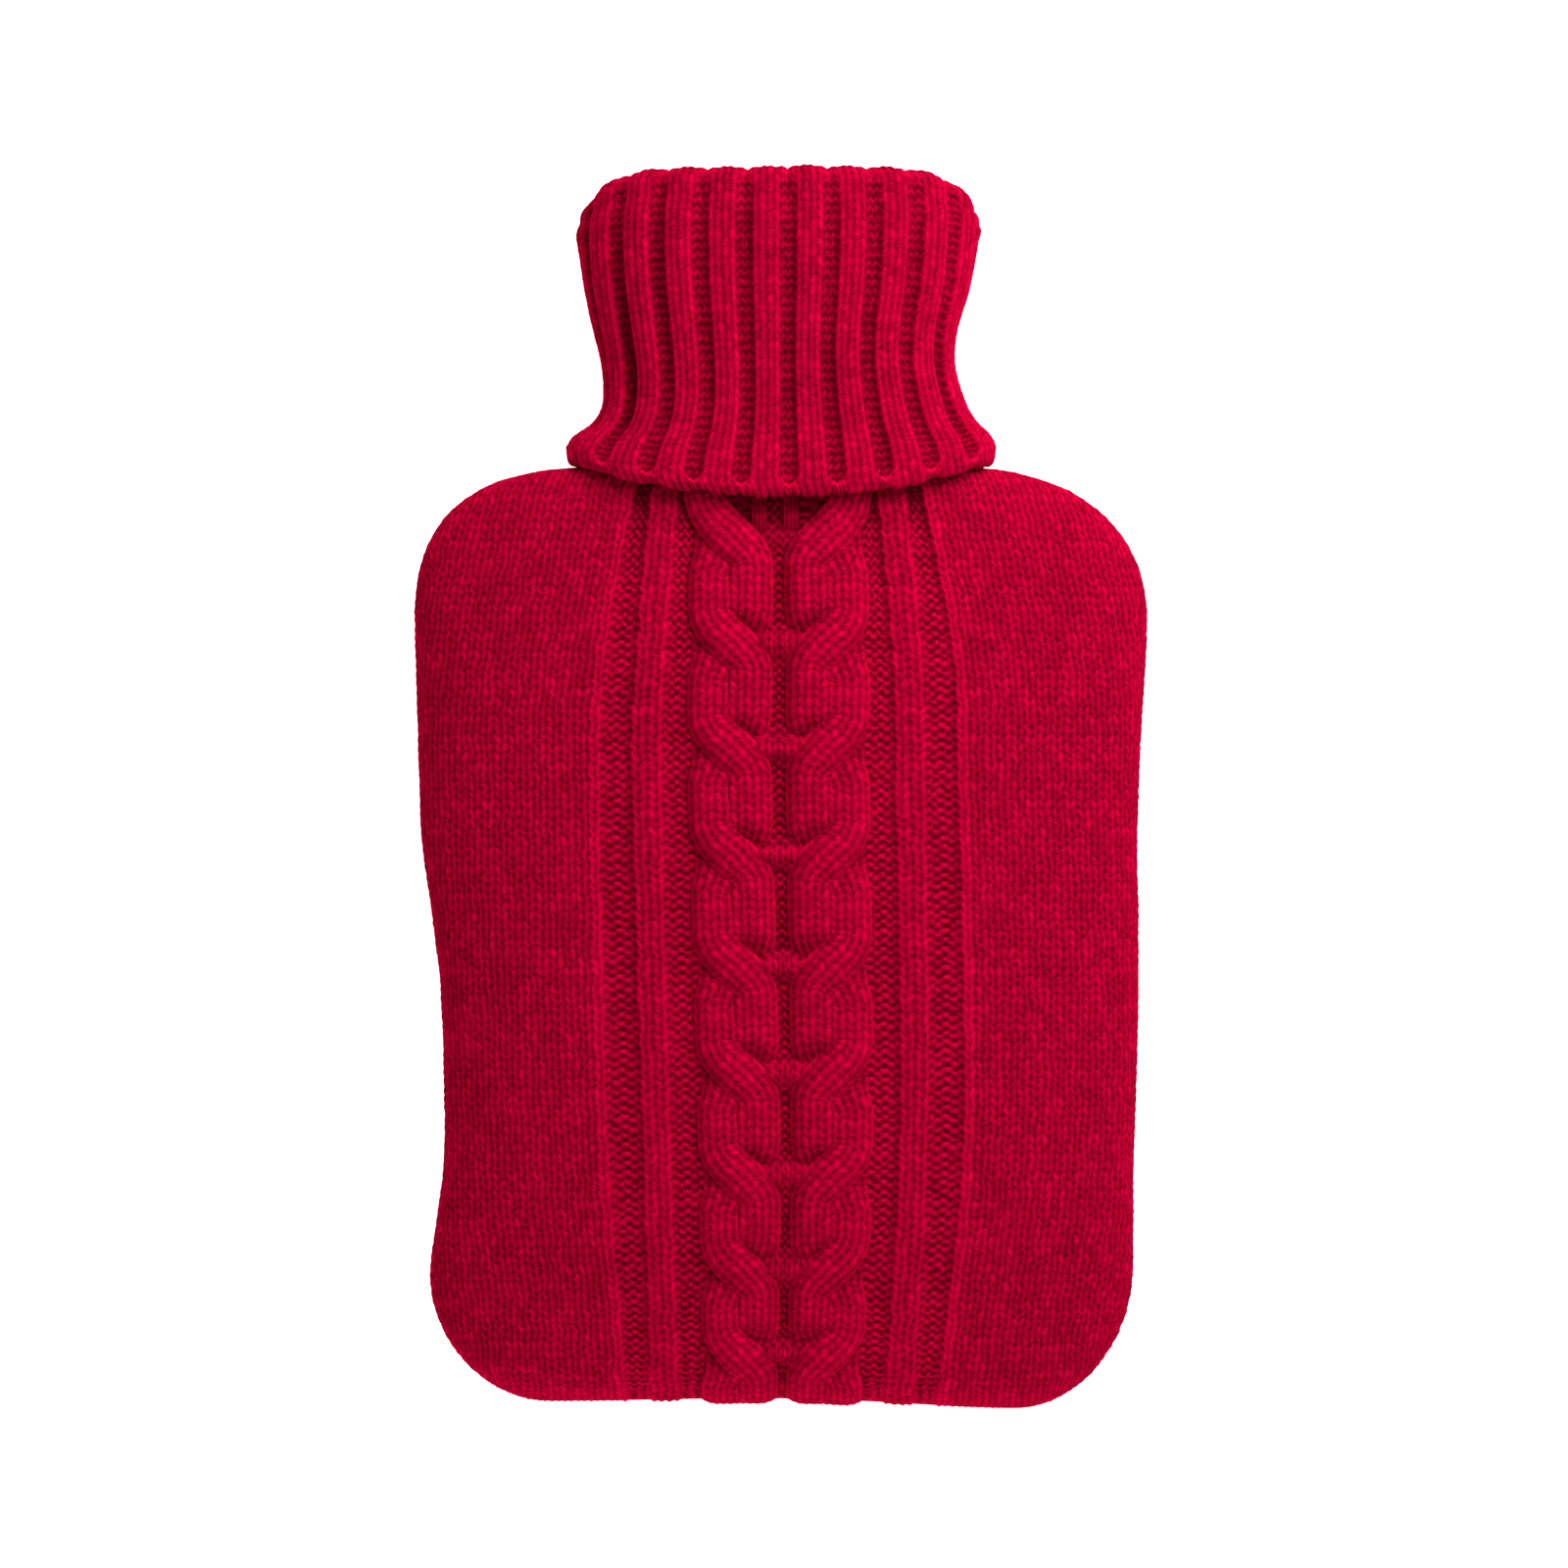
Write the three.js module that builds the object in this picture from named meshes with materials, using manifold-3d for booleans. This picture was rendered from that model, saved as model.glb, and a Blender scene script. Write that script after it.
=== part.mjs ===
// Knitted hot water bottle cover: a cabled front panel, a plain back panel and a roll neck.
// It lies on its back, open and hollow as over a filled bottle. Millimetres, +Z up, neck towards +Y.

import * as THREE from 'three';
import { mergeVertices } from 'three/addons/utils/BufferGeometryUtils.js';
import Module from 'manifold-3d';

const wasm = await Module();
wasm.setup();

// ---- Driving dimensions, mm ----

const CLOTH = 3.2;               // thickness of the knitted cloth
const GAP = 0.3;                 // between pieces that are sewn together
const SEAM_HEIGHT = 25;          // side seams above the surface that the cover lies on
const RISE = 23;                 // front of the bag above the seams
const DROP = 27;                 // back of the bag below the seams, before the surface flattens it
const BODY_SQUARENESS = 3;       // exponent of the bag's cross-section
const NECK_SQUARENESS = 2.3;     // the same for the neck

const BOTTOM_Y = -174;           // lowest place of the bottom seam
const CORNER = { width: 32, length: 37 };
const BOTTOM_ROUNDING = 30;      // length over which the bag thins to its bottom seam
const BOTTOM_THINNING = 2.4;     // exponent of that rounding
const BOTTOM_EDGE = 2.2;         // half thickness that is left at the bottom seam
const SHOULDER_START_Y = 45;
const SHOULDER_TOP_Y = 90.5;
const SHOULDER = { leftPower: 2.6, rightPower: 2.2 };
const NECK_LINE_Y = 93;          // where the panels end and the roll neck begins
const NECK_HALF_WIDTH = 46;
const NECK_RISE = 18.5;
const NECK_DROP = 17;
const NARROWING_START_Y = 20;    // from here up the bag thins towards the neck

// Side seams between the bottom corners and the shoulders.
const SIDES = [
  { along: -174, left: -98.4, right: 98.5 },
  { along: -136, left: -98.3, right: 98.6 },
  { along: -104, left: -94.5, right: 98.8 },
  { along: -59, left: -95.2, right: 100.1 },
  { along: -37, left: -97.6, right: 100.0 },
  { along: -15, left: -100.6, right: 99.8 },
  { along: 17, left: -101.8, right: 100.9 },
  { along: 45, left: -102.5, right: 102.5 },
  { along: 93, left: -102.5, right: 102.5 },
];

// How much higher than its lowest place the bottom seam runs, across the bag.
const BOTTOM_SEAM = [
  { across: -100, lift: 2.0 },
  { across: -60, lift: 2.0 },
  { across: 5, lift: 2.6 },
  { across: 62, lift: 0 },
  { across: 100, lift: 0.4 },
];

// The patterned band on the front, measured outwards from its own centre line.
const BAND = [
  { along: -174, centre: 0.2, cableIn: 2.4, cableOut: 21.8, ribIn: 28.2, ribOut: 37.0, edge: 42.8 },
  { along: -98, centre: 1.2, cableIn: 2.6, cableOut: 24.0, ribIn: 31.5, ribOut: 40.3, edge: 48.9 },
  { along: 10, centre: -0.8, cableIn: 3.1, cableOut: 25.0, ribIn: 32.1, ribOut: 41.6, edge: 49.4 },
  { along: 33, centre: -0.6, cableIn: 3.0, cableOut: 25.0, ribIn: 31.3, ribOut: 40.9, edge: 48.5 },
  { along: 80, centre: -0.9, cableIn: 2.4, cableOut: 23.9, ribIn: 27.4, ribOut: 36.2, edge: 40.4 },
  { along: 93, centre: -0.9, cableIn: 2.4, cableOut: 22.0, ribIn: 25.6, ribOut: 33.5, edge: 37.0 },
];

// Where the strands of both cables cross, from the neck down.
const CROSSINGS = [66.1, 36.9, 7.7, -22.3, -53.2, -82.9, -111.3, -137.6, -163.4];
const CABLE_PITCH = 29.5;
const CROSSING_START = 13;       // a strand starts to cross this far above the crossing
const CROSSING_END = 4;          // and has crossed this far below it
const GROOVE_DEPTH = 1.4;
const SLOT_DEPTH = 2;            // the grooves where the neck draws them in
const RIB_HEIGHT = 0.6;
const STRAND_HEIGHT = 2.8;
const OVER_STRAND_LIFT = 1.1;
const UNDER_STRAND_DIP = 1.9;
const STRAND_HALF_WIDTH = 0.27;  // share of the cable's width
const STRAND_ROUNDNESS = 2.6;    // exponent of a strand's cross-section
const STRAND_SIDES = { outer: 0.25, inner: 0.75 };  // strand middles as shares across the cable
const RELIEF_FADE = 5;           // the relief dies out this close to the bottom seam

// Where the panel's mesh has its lines: shares of each pattern strip, from its inner side outwards.
const CENTRE_LINE = 0.7;
const CABLE_LINES = [0.03, 0.15, 0.32, 0.5, 0.68, 0.85, 0.97];
const GROOVE_LINES = [0.28, 0.72];
const RIB_LINES = [0.1, 0.5, 0.9];
const PLAIN_LINES = [0, 0.22, 0.44, 0.64, 0.82, 0.94];
const CROSSING_LINES = [11.8, 8, 4, 0, -4, -10.5];  // lines of the mesh above each crossing
const BOTTOM_LINES = [0.4, 1.6, 3.8];                // lines of the mesh above the bottom seam
const NECK_LINES = [81, 84.5, 87.5, 89.6, 90.5];
const ROUND_LINES = 12;          // patches across the back and across the hollow's two faces
const HOLLOW_LINES = [-168.8, -165.8, -160.8, -152.8, -140.8, -104, -59, -15, 17, 45, 62, 74, 82, 87];
const HOLLOW_OVERRUN = 5;        // the hollow runs out of the neck line by this much
const HALF_SPACE = { width: 260, length: 320, height: 60 };  // box that holds half of the bag

// Roll neck: outer face of the turned-down layer, from the hem up to the fold.
const ROLL = [
  { along: 81.8, left: -59.6, right: 59.3, front: 26.6, back: 24, power: 3 },
  { along: 86, left: -59.8, right: 59.6, front: 26.4, back: 24, power: 3 },
  { along: 93, left: -57.4, right: 58.2, front: 25.2, back: 23.6, power: 2.7 },
  { along: 100, left: -52.4, right: 54.8, front: 23.6, back: 22.8, power: 2.4 },
  { along: 108, left: -49.2, right: 51.2, front: 22.6, back: 22.2, power: 2.3 },
  { along: 118, left: -49.4, right: 48.3, front: 22.4, back: 22.0, power: 2.3 },
  { along: 128, left: -51.8, right: 48.8, front: 23.0, back: 22.6, power: 2.3 },
  { along: 140, left: -54.8, right: 52.6, front: 24.0, back: 23.2, power: 2.3 },
  { along: 154, left: -56.8, right: 55.2, front: 24.8, back: 23.8, power: 2.3 },
  { along: 165, left: -56.0, right: 54.6, front: 24.2, back: 23.4, power: 2.3 },
  { along: 174, left: -50.0, right: 49.4, front: 21.0, back: 20.6, power: 2.3 },
];
const LAYER_SPACE = 0.8;         // between the two layers of the roll
const FOLD_Y = 174;              // top of the fold
const FOLD_SIDE_DROP = 8;        // how much lower the fold lies at the sides
const HEM_SIDE_RISE = 9.5;       // how much higher the hem lies at the sides
const HEM_CURVE = 2.2;           // exponents of those two curves across the neck
const FOLD_CURVE = 5;
const HEM_RISE_REACH = 26;       // length of the roll over which that rise dies out
const ROLL_REPEATS = 22;         // knit ribs round the neck
const ROLL_PHASE = 0.33;         // share of a repeat from the front centre to a groove
const ROLL_RELIEF = 0.9;         // ribs out and grooves in, from the middle
const BORE_RELIEF = 0.5;
const GROOVE_SHARE = 0.36;       // share of a repeat that the groove takes
const GROOVE_SLOPE = 0.16;       // share of a repeat that each side of the groove slopes over
const HEM_ROUNDING = 0.6;
const OVAL_STEPS = 120;          // straight steps in half of the neck's oval
const FOLD_DROP_REACH = 26;      // length of the roll over which the fold's drop dies out

// Where the roll's mesh has its rings, by their place at the front centre.
const BORE_PLACES = [106, 122, 140, 157];
const OUTER_PLACES = [166, 154, 140, 128, 118, 108, 100, 93, 85.5];
const LAYER_PLACES = [86, 102, 120, 140, 163];
// Over the fold from the inside: depth below its top and share of the way in to the bore.
const FOLD_STEPS = [
  { below: 6, inward: 0.9, relief: -0.5, sizedAt: 162 },
  { below: 1.4, inward: 0.7, relief: 0.4, sizedAt: 165 },
  { below: 0, inward: 0.48, relief: 0.7, sizedAt: 166 },
  { below: 1.4, inward: 0.24, relief: 1, sizedAt: 166 },
];

const RED = { front: 0xb50630, back: 0xae052d, roll: 0xbd0733 };

// ---- Small tools ----

// Smooth curve through one column of a table, read at a place in its key column.
function columnAt(table, column, place, key = 'along') {
  const last = table.length - 1;
  const slope = (i) => {
    const low = table[Math.max(i - 1, 0)];
    const high = table[Math.min(i + 1, last)];
    return (high[column] - low[column]) / (high[key] - low[key]);
  };
  const clamped = THREE.MathUtils.clamp(place, table[0][key], table[last][key]);
  let i = 0;
  while (i < last - 1 && clamped > table[i + 1][key]) {
    i += 1;
  }
  const step = table[i + 1][key] - table[i][key];
  const t = (clamped - table[i][key]) / step;
  const ease = t * t * (3 - 2 * t);
  const value = table[i][column] * (1 - ease) + table[i + 1][column] * ease;
  const bend = slope(i) * (1 - t) * (1 - t) * t - slope(i + 1) * t * t * (1 - t);
  return value + step * bend;
}

function smoothStep(low, high, x) {
  return THREE.MathUtils.smoothstep(x, low, high);
}

// How far a rounded corner has drawn in, 0 to 1, at share t of its length.
function drawIn(t, power) {
  const share = THREE.MathUtils.clamp(t, 0, 1);
  return 1 - (1 - share ** power) ** (1 / power);
}

// Strips of triangles between neighbouring rings, each patch split along its shorter diagonal.
function stitchRings(rings, closedAlong) {
  const around = rings[0].length;
  const bands = closedAlong ? rings.length : rings.length - 1;
  const triangles = [];
  for (let r = 0; r < bands; r += 1) {
    const s = (r + 1) % rings.length;
    for (let i = 0; i < around; i += 1) {
      const j = (i + 1) % around;
      const [a, b, c, d] = [r * around + i, r * around + j, s * around + j, s * around + i];
      if (rings[r][i].distanceTo(rings[s][j]) < rings[r][j].distanceTo(rings[s][i])) {
        triangles.push(a, b, c, a, c, d);
      } else {
        triangles.push(a, b, d, b, c, d);
      }
    }
  }
  return triangles;
}

function geometryOf(points, triangles) {
  const geometry = new THREE.BufferGeometry();
  const position = points.flatMap((point) => [point.x, point.y, point.z]);
  geometry.setAttribute('position', new THREE.Float32BufferAttribute(position, 3));
  geometry.setIndex(triangles);
  return geometry;
}

// Solid through a row of rings, with a flat fan over each end.
function loftedSolid(rings) {
  const around = rings[0].length;
  const points = rings.flat();
  const triangles = stitchRings(rings, false);
  const ends = [
    { ring: rings[0], start: 0, flip: true },
    { ring: rings[rings.length - 1], start: (rings.length - 1) * around, flip: false },
  ];
  for (const end of ends) {
    const middle = new THREE.Vector3();
    end.ring.forEach((point) => middle.add(point));
    points.push(middle.divideScalar(around));
    const hub = points.length - 1;
    for (let i = 0; i < around; i += 1) {
      const a = end.start + i;
      const b = end.start + ((i + 1) % around);
      triangles.push(...(end.flip ? [hub, b, a] : [hub, a, b]));
    }
  }
  return geometryOf(points, triangles);
}

function toSolid(geometry) {
  const plain = geometry.clone();
  plain.deleteAttribute('normal');
  plain.deleteAttribute('uv');
  const merged = mergeVertices(plain, 1e-4);
  return new wasm.Manifold(new wasm.Mesh({
    numProp: 3,
    vertProperties: new Float32Array(merged.attributes.position.array),
    triVerts: new Uint32Array(merged.index.array),
  }));
}

function toGeometry(solid) {
  const mesh = solid.getMesh();
  const geometry = new THREE.BufferGeometry();
  geometry.setAttribute('position', new THREE.Float32BufferAttribute(mesh.vertProperties, 3));
  geometry.setIndex(Array.from(mesh.triVerts));
  return geometry;
}

function knitPiece(name, geometry, color) {
  geometry.computeVertexNormals();
  const material = new THREE.MeshStandardMaterial({ color, roughness: 0.92, metalness: 0 });
  const mesh = new THREE.Mesh(geometry, material);
  mesh.name = name;
  return mesh;
}

// ---- The bag's form ----

// Side seam on one side at a place along the bag, with its bottom corner and its shoulder.
function sideSeam(side, along) {
  const sign = side === 'left' ? -1 : 1;
  const full = sign * columnAt(SIDES, side, along);
  const corner = drawIn((BOTTOM_Y + CORNER.length - along) / CORNER.length, 2);
  const climb = (along - SHOULDER_START_Y) / (SHOULDER_TOP_Y - SHOULDER_START_Y);
  const shoulder = drawIn(climb, SHOULDER[`${side}Power`]);
  return sign * (full - CORNER.width * corner - (full - NECK_HALF_WIDTH) * shoulder);
}

// Half thicknesses of the bag above and below its seams.
function fullness(along) {
  const bottom = 1 - drawIn((BOTTOM_Y + BOTTOM_ROUNDING - along) / BOTTOM_ROUNDING, BOTTOM_THINNING);
  const neck = smoothStep(NARROWING_START_Y, NECK_LINE_Y, along);
  const rise = THREE.MathUtils.lerp(RISE, NECK_RISE, neck) * bottom;
  const drop = THREE.MathUtils.lerp(DROP, NECK_DROP, neck) * bottom;
  return { rise: Math.max(rise, BOTTOM_EDGE), drop: Math.max(drop, BOTTOM_EDGE) };
}

// How far the uneven bottom seam pulls the cloth up near the bottom.
function seamLift(x, along) {
  const share = 1 - smoothStep(BOTTOM_Y, BOTTOM_Y + CORNER.length, along);
  return columnAt(BOTTOM_SEAM, 'lift', x, 'across') * share;
}

// The bag's cross-section, drawn in on all sides by inset.
function sectionAt(along, inset) {
  const left = sideSeam('left', along);
  const right = sideSeam('right', along);
  const { rise, drop } = fullness(along);
  const towardsNeck = smoothStep(SHOULDER_START_Y, NECK_LINE_Y, along);
  return {
    centre: (left + right) / 2,
    halfWidth: (right - left) / 2 - inset,
    rise: rise - inset,
    drop: drop - inset,
    floor: inset,
    power: THREE.MathUtils.lerp(BODY_SQUARENESS, NECK_SQUARENESS, towardsNeck),
  };
}

// Height of the section's front or back face at x.
function faceHeight(section, x, isFront) {
  const share = Math.min(Math.abs(x - section.centre) / section.halfWidth, 1);
  const arch = (1 - share ** section.power) ** (1 / section.power);
  const height = SEAM_HEIGHT + arch * (isFront ? section.rise : -section.drop);
  return Math.max(height, section.floor);
}

// Places across the section at even turns from one side to the other, without the two seams.
function evenTurns(section) {
  const places = [];
  for (let i = 1; i < ROUND_LINES; i += 1) {
    const turn = Math.cos((Math.PI * i) / ROUND_LINES);
    const share = Math.sign(turn) * Math.abs(turn) ** (2 / section.power);
    places.push(section.centre - section.halfWidth * share);
  }
  return places;
}

// ---- Relief of the front ----

// One strand's height above the cloth. Across runs from 0 at the cable's outer side to 1 at its
// inner side, and below is the distance down from the crossing. The strand crosses over from one
// share across the cable to another.
function strandHeight(across, below, from, to, width, crown) {
  const travel = CROSSING_START + CROSSING_END;
  const t = THREE.MathUtils.clamp((below + CROSSING_START) / travel, 0, 1);
  const path = from + (to - from) * t * t * (3 - 2 * t);
  const slant = ((to - from) * 6 * t * (1 - t) * width) / travel;
  const apart = Math.abs(across - path) / Math.hypot(1, slant);
  const share = Math.min(apart / STRAND_HALF_WIDTH, 1);
  return crown * Math.sqrt(1 - share ** STRAND_ROUNDNESS);
}

// Height of a cable at a place along the bag.
function cableHeight(across, along, width) {
  let crossing = CROSSINGS[0];
  for (const place of CROSSINGS) {
    if (along < place + CROSSING_START && place < crossing) {
      crossing = place;
    }
  }
  const below = Math.min(crossing - along, CABLE_PITCH - CROSSING_START);
  const middle = (CROSSING_START - CROSSING_END) / 2;
  const near = Math.max(0, 1 - Math.abs(below + middle) / CROSSING_START);
  const { outer, inner } = STRAND_SIDES;
  const over = strandHeight(across, below, outer, inner, width, STRAND_HEIGHT + OVER_STRAND_LIFT * near);
  const under = strandHeight(across, below, inner, outer, width, STRAND_HEIGHT - UNDER_STRAND_DIP * near);
  return Math.max(over, under);
}

// Lines of the band's mesh at a place along the bag, from its centre outwards on one side.
function bandLines(along) {
  const at = (column) => columnAt(BAND, column, along);
  const slot = GROOVE_DEPTH + (SLOT_DEPTH - GROOVE_DEPTH) * smoothStep(SHOULDER_START_Y, 80, along);
  const strip = (inner, outer, shares, height) => shares.map((share) => ({
    out: THREE.MathUtils.lerp(at(inner), at(outer), share),
    height: height(share),
  }));
  const width = at('cableOut') - at('cableIn');
  return [
    { out: at('cableIn') * CENTRE_LINE, height: -GROOVE_DEPTH },
    ...strip('cableIn', 'cableOut', CABLE_LINES, (share) => cableHeight(1 - share, along, width)),
    ...strip('cableOut', 'ribIn', GROOVE_LINES, () => -slot),
    ...strip('ribIn', 'ribOut', RIB_LINES, () => RIB_HEIGHT),
    ...strip('ribOut', 'edge', GROOVE_LINES, () => -slot),
  ];
}

// Points of the front face at one place along the bag, from the left seam to the right one.
function frontPoints(along) {
  const section = sectionAt(along, 0);
  const centre = columnAt(BAND, 'centre', along);
  const edge = columnAt(BAND, 'edge', along);
  const fade = smoothStep(BOTTOM_Y, BOTTOM_Y + RELIEF_FADE, along);
  const row = [];
  for (const sign of [-1, 1]) {
    const seam = section.centre + sign * section.halfWidth;
    const band = bandLines(along).map((line) => ({
      x: centre + sign * line.out,
      height: line.height,
    }));
    const plain = PLAIN_LINES.map((share) => ({
      x: THREE.MathUtils.lerp(centre + sign * edge, seam, share),
      height: 0,
    }));
    const half = [...band, ...plain];
    row.push(...(sign < 0 ? half.reverse() : half));
  }
  row.splice(row.length / 2, 0, { x: centre, height: -GROOVE_DEPTH });
  return row.map(({ x, height }) => {
    const z = faceHeight(section, x, true) + height * fade;
    return new THREE.Vector3(x, along + seamLift(x, along), z);
  });
}

function backPoints(section, along) {
  const places = evenTurns(section).reverse();
  return places.map(
    (x) => new THREE.Vector3(x, along + seamLift(x, along), faceHeight(section, x, false)),
  );
}

// Places along the bag: through the bottom rounding, at each crossing's lines and up to the neck.
function bodyPlaces() {
  const places = [];
  for (const crossing of CROSSINGS) {
    places.push(...CROSSING_LINES.map((above) => crossing + above));
  }
  const clear = places.filter((along) => along > BOTTOM_Y + RELIEF_FADE).sort((a, b) => a - b);
  const bottom = BOTTOM_LINES.map((above) => BOTTOM_Y + above);
  return [BOTTOM_Y, ...bottom, ...clear, ...NECK_LINES, NECK_LINE_Y];
}

function seamPoint(section, along, sign) {
  const x = section.centre + sign * section.halfWidth;
  return new THREE.Vector3(x, along + seamLift(x, along), SEAM_HEIGHT);
}

function outsideRing(along) {
  const section = sectionAt(along, 0);
  return [
    seamPoint(section, along, -1),
    ...frontPoints(along),
    seamPoint(section, along, 1),
    ...backPoints(section, along),
  ];
}

// The hollow that the bottle fills, left open at the neck.
function hollowRing(along, sizedAt) {
  const section = sectionAt(sizedAt, CLOTH);
  const front = evenTurns(section).map(
    (x) => new THREE.Vector3(x, along + seamLift(x, along), faceHeight(section, x, true)),
  );
  return [
    seamPoint(section, along, -1),
    ...front,
    seamPoint(section, along, 1),
    ...backPoints(section, along),
  ];
}

// ---- Panels ----

function makePanels() {
  const outside = toSolid(loftedSolid(bodyPlaces().map(outsideRing)));
  const hollowRings = HOLLOW_LINES.map((along) => hollowRing(along, along));
  hollowRings.push(hollowRing(SHOULDER_TOP_Y, NECK_LINE_Y));
  hollowRings.push(hollowRing(NECK_LINE_Y + HOLLOW_OVERRUN, NECK_LINE_Y));
  const bag = outside.subtract(toSolid(loftedSolid(hollowRings)));
  const half = (z) => {
    const box = new THREE.BoxGeometry(HALF_SPACE.width, HALF_SPACE.length, HALF_SPACE.height);
    box.translate(0, (BOTTOM_Y + NECK_LINE_Y) / 2, z);
    return toSolid(box);
  };
  const reach = (HALF_SPACE.height + GAP) / 2;
  return {
    front: toGeometry(bag.intersect(half(SEAM_HEIGHT + reach))),
    back: toGeometry(bag.intersect(half(SEAM_HEIGHT - reach))),
  };
}

// ---- Roll neck ----

// Points at the given shares of the way round an oval, from its front centre towards +X, each
// with its outward direction. The back centre is at share 0.5.
function ovalPoints(oval, shares) {
  const reach = (value) => Math.abs(value) ** (2 / oval.power);
  const halfPath = (side) => {
    const path = new THREE.CurvePath();
    let previous = new THREE.Vector2(0, oval.front);
    for (let i = 1; i <= OVAL_STEPS; i += 1) {
      const angle = (Math.PI * i) / OVAL_STEPS;
      const depth = Math.cos(angle) >= 0 ? oval.front : -oval.back;
      const next = new THREE.Vector2(side * reach(Math.sin(angle)), depth * reach(Math.cos(angle)));
      path.add(new THREE.LineCurve(previous, next));
      previous = next;
    }
    return path;
  };
  const right = halfPath(oval.right);
  const left = halfPath(-oval.left);
  return shares.map((share) => {
    const isRight = share < 0.5;
    const path = isRight ? right : left;
    const turn = isRight ? share * 2 : 2 - share * 2;
    const run = path.getTangentAt(turn);
    const outward = new THREE.Vector2(-run.y, run.x);
    return { point: path.getPointAt(turn), outward: isRight ? outward : outward.negate() };
  });
}

// Shares of the way round the neck where the mesh has a line, on a rib (1) or in a groove (-1).
function rollLines() {
  const half = GROOVE_SHARE / 2;
  const slope = GROOVE_SLOPE / 2;
  const lines = [];
  for (let repeat = 0; repeat < ROLL_REPEATS; repeat += 1) {
    const middle = repeat + ROLL_PHASE;
    lines.push({ turn: middle - half - slope, side: 1 });
    lines.push({ turn: middle - half + slope, side: -1 });
    lines.push({ turn: middle + half - slope, side: -1 });
    lines.push({ turn: middle + half + slope, side: 1 });
  }
  return lines
    .map(({ turn, side }) => ({ share: (turn / ROLL_REPEATS) % 1, side }))
    .sort((a, b) => a.share - b.share);
}

// The oval of the roll at a place along its outer face, drawn in by inset.
function rollOval(along, inset) {
  return {
    right: columnAt(ROLL, 'right', along) - inset,
    left: -columnAt(ROLL, 'left', along) - inset,
    front: columnAt(ROLL, 'front', along) - inset,
    back: columnAt(ROLL, 'back', along) - inset,
    power: columnAt(ROLL, 'power', along),
  };
}

// The oval where the roll grows out of the panels, drawn in by inset.
function footOval(inset) {
  return {
    right: NECK_HALF_WIDTH - inset,
    left: NECK_HALF_WIDTH - inset,
    front: NECK_RISE - inset,
    back: NECK_DROP - inset,
    power: NECK_SQUARENESS,
  };
}

// How far a point of the roll lies above its place at the front centre.
function rollLift(along, sideShare) {
  const hem = 1 - smoothStep(ROLL[0].along, ROLL[0].along + HEM_RISE_REACH, along);
  const fold = smoothStep(FOLD_Y - FOLD_DROP_REACH, FOLD_Y, along);
  const rise = HEM_SIDE_RISE * sideShare ** HEM_CURVE * hem;
  return rise - FOLD_SIDE_DROP * sideShare ** FOLD_CURVE * fold;
}

function rollRing(oval, along, relief, lifted) {
  const lines = rollLines();
  const places = ovalPoints(oval, lines.map((line) => line.share));
  return places.map(({ point, outward }, i) => {
    const offset = relief * lines[i].side;
    const sideShare = Math.abs(point.x) / Math.max(oval.left, oval.right);
    const lift = lifted ? rollLift(along, sideShare) : 0;
    return new THREE.Vector3(
      point.x + outward.x * offset,
      along + lift,
      SEAM_HEIGHT + point.y + outward.y * offset,
    );
  });
}

function makeRoll() {
  const turned = CLOTH + LAYER_SPACE;
  const bore = turned + CLOTH;
  const foot = NECK_LINE_Y + GAP;
  const rings = [rollRing(footOval(CLOTH), foot, 0, false)];
  const add = (along, inset, relief, sizedAt = along) => {
    rings.push(rollRing(rollOval(sizedAt, inset), along, relief, true));
  };
  // Up the inside of the neck, over the fold and down the outside to the hem.
  BORE_PLACES.forEach((along) => add(along, bore, -BORE_RELIEF));
  FOLD_STEPS.forEach((step) => {
    add(FOLD_Y - step.below, bore * step.inward, ROLL_RELIEF * step.relief, step.sizedAt);
  });
  OUTER_PLACES.forEach((along) => add(along, 0, ROLL_RELIEF));
  add(ROLL[0].along, HEM_ROUNDING, ROLL_RELIEF);
  add(ROLL[0].along, CLOTH - HEM_ROUNDING, ROLL_RELIEF / 2);
  // Up between the two layers and down again to the foot.
  LAYER_PLACES.forEach((along) => add(along, CLOTH, 0));
  LAYER_PLACES.slice(1).reverse().forEach((along) => add(along, turned, 0));
  rings.push(rollRing(footOval(0), foot, 0, false));
  return geometryOf(rings.reverse().flat(), stitchRings(rings, true));
}

// ---- The cover ----

const group = new THREE.Group();
const panels = makePanels();
group.add(knitPiece('front_panel', panels.front, RED.front));
group.add(knitPiece('back_panel', panels.back, RED.back));
group.add(knitPiece('roll_neck', makeRoll(), RED.roll));

export default group;
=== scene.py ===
"""Knitted hot water bottle cover, dressed stitch by stitch over its fixed frame.

Metres, +Z up, neck towards +Y. The cover lies on its back. Each panel is a net of stitches laid over
the bag's form: columns of stitches run along the bag and courses run across it.
"""

import math
from collections import namedtuple

import bmesh
import bpy
import numpy as np
from bpy.props import FloatProperty, FloatVectorProperty, PointerProperty
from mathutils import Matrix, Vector


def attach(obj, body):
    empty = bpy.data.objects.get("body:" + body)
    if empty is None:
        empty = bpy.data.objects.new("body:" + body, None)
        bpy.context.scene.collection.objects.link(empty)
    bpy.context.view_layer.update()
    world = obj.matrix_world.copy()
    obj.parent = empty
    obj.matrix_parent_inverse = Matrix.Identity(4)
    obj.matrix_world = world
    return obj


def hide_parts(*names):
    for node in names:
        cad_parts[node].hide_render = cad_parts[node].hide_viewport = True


bl_info = {
    "name": "Knitted hot water bottle cover",
    "version": (1, 0, 0),
    "blender": (4, 5, 0),
    "location": "View3D > Sidebar > Bottle Cover",
    "description": "Knits a cabled hot water bottle cover over its frame",
    "category": "Object",
}

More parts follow.
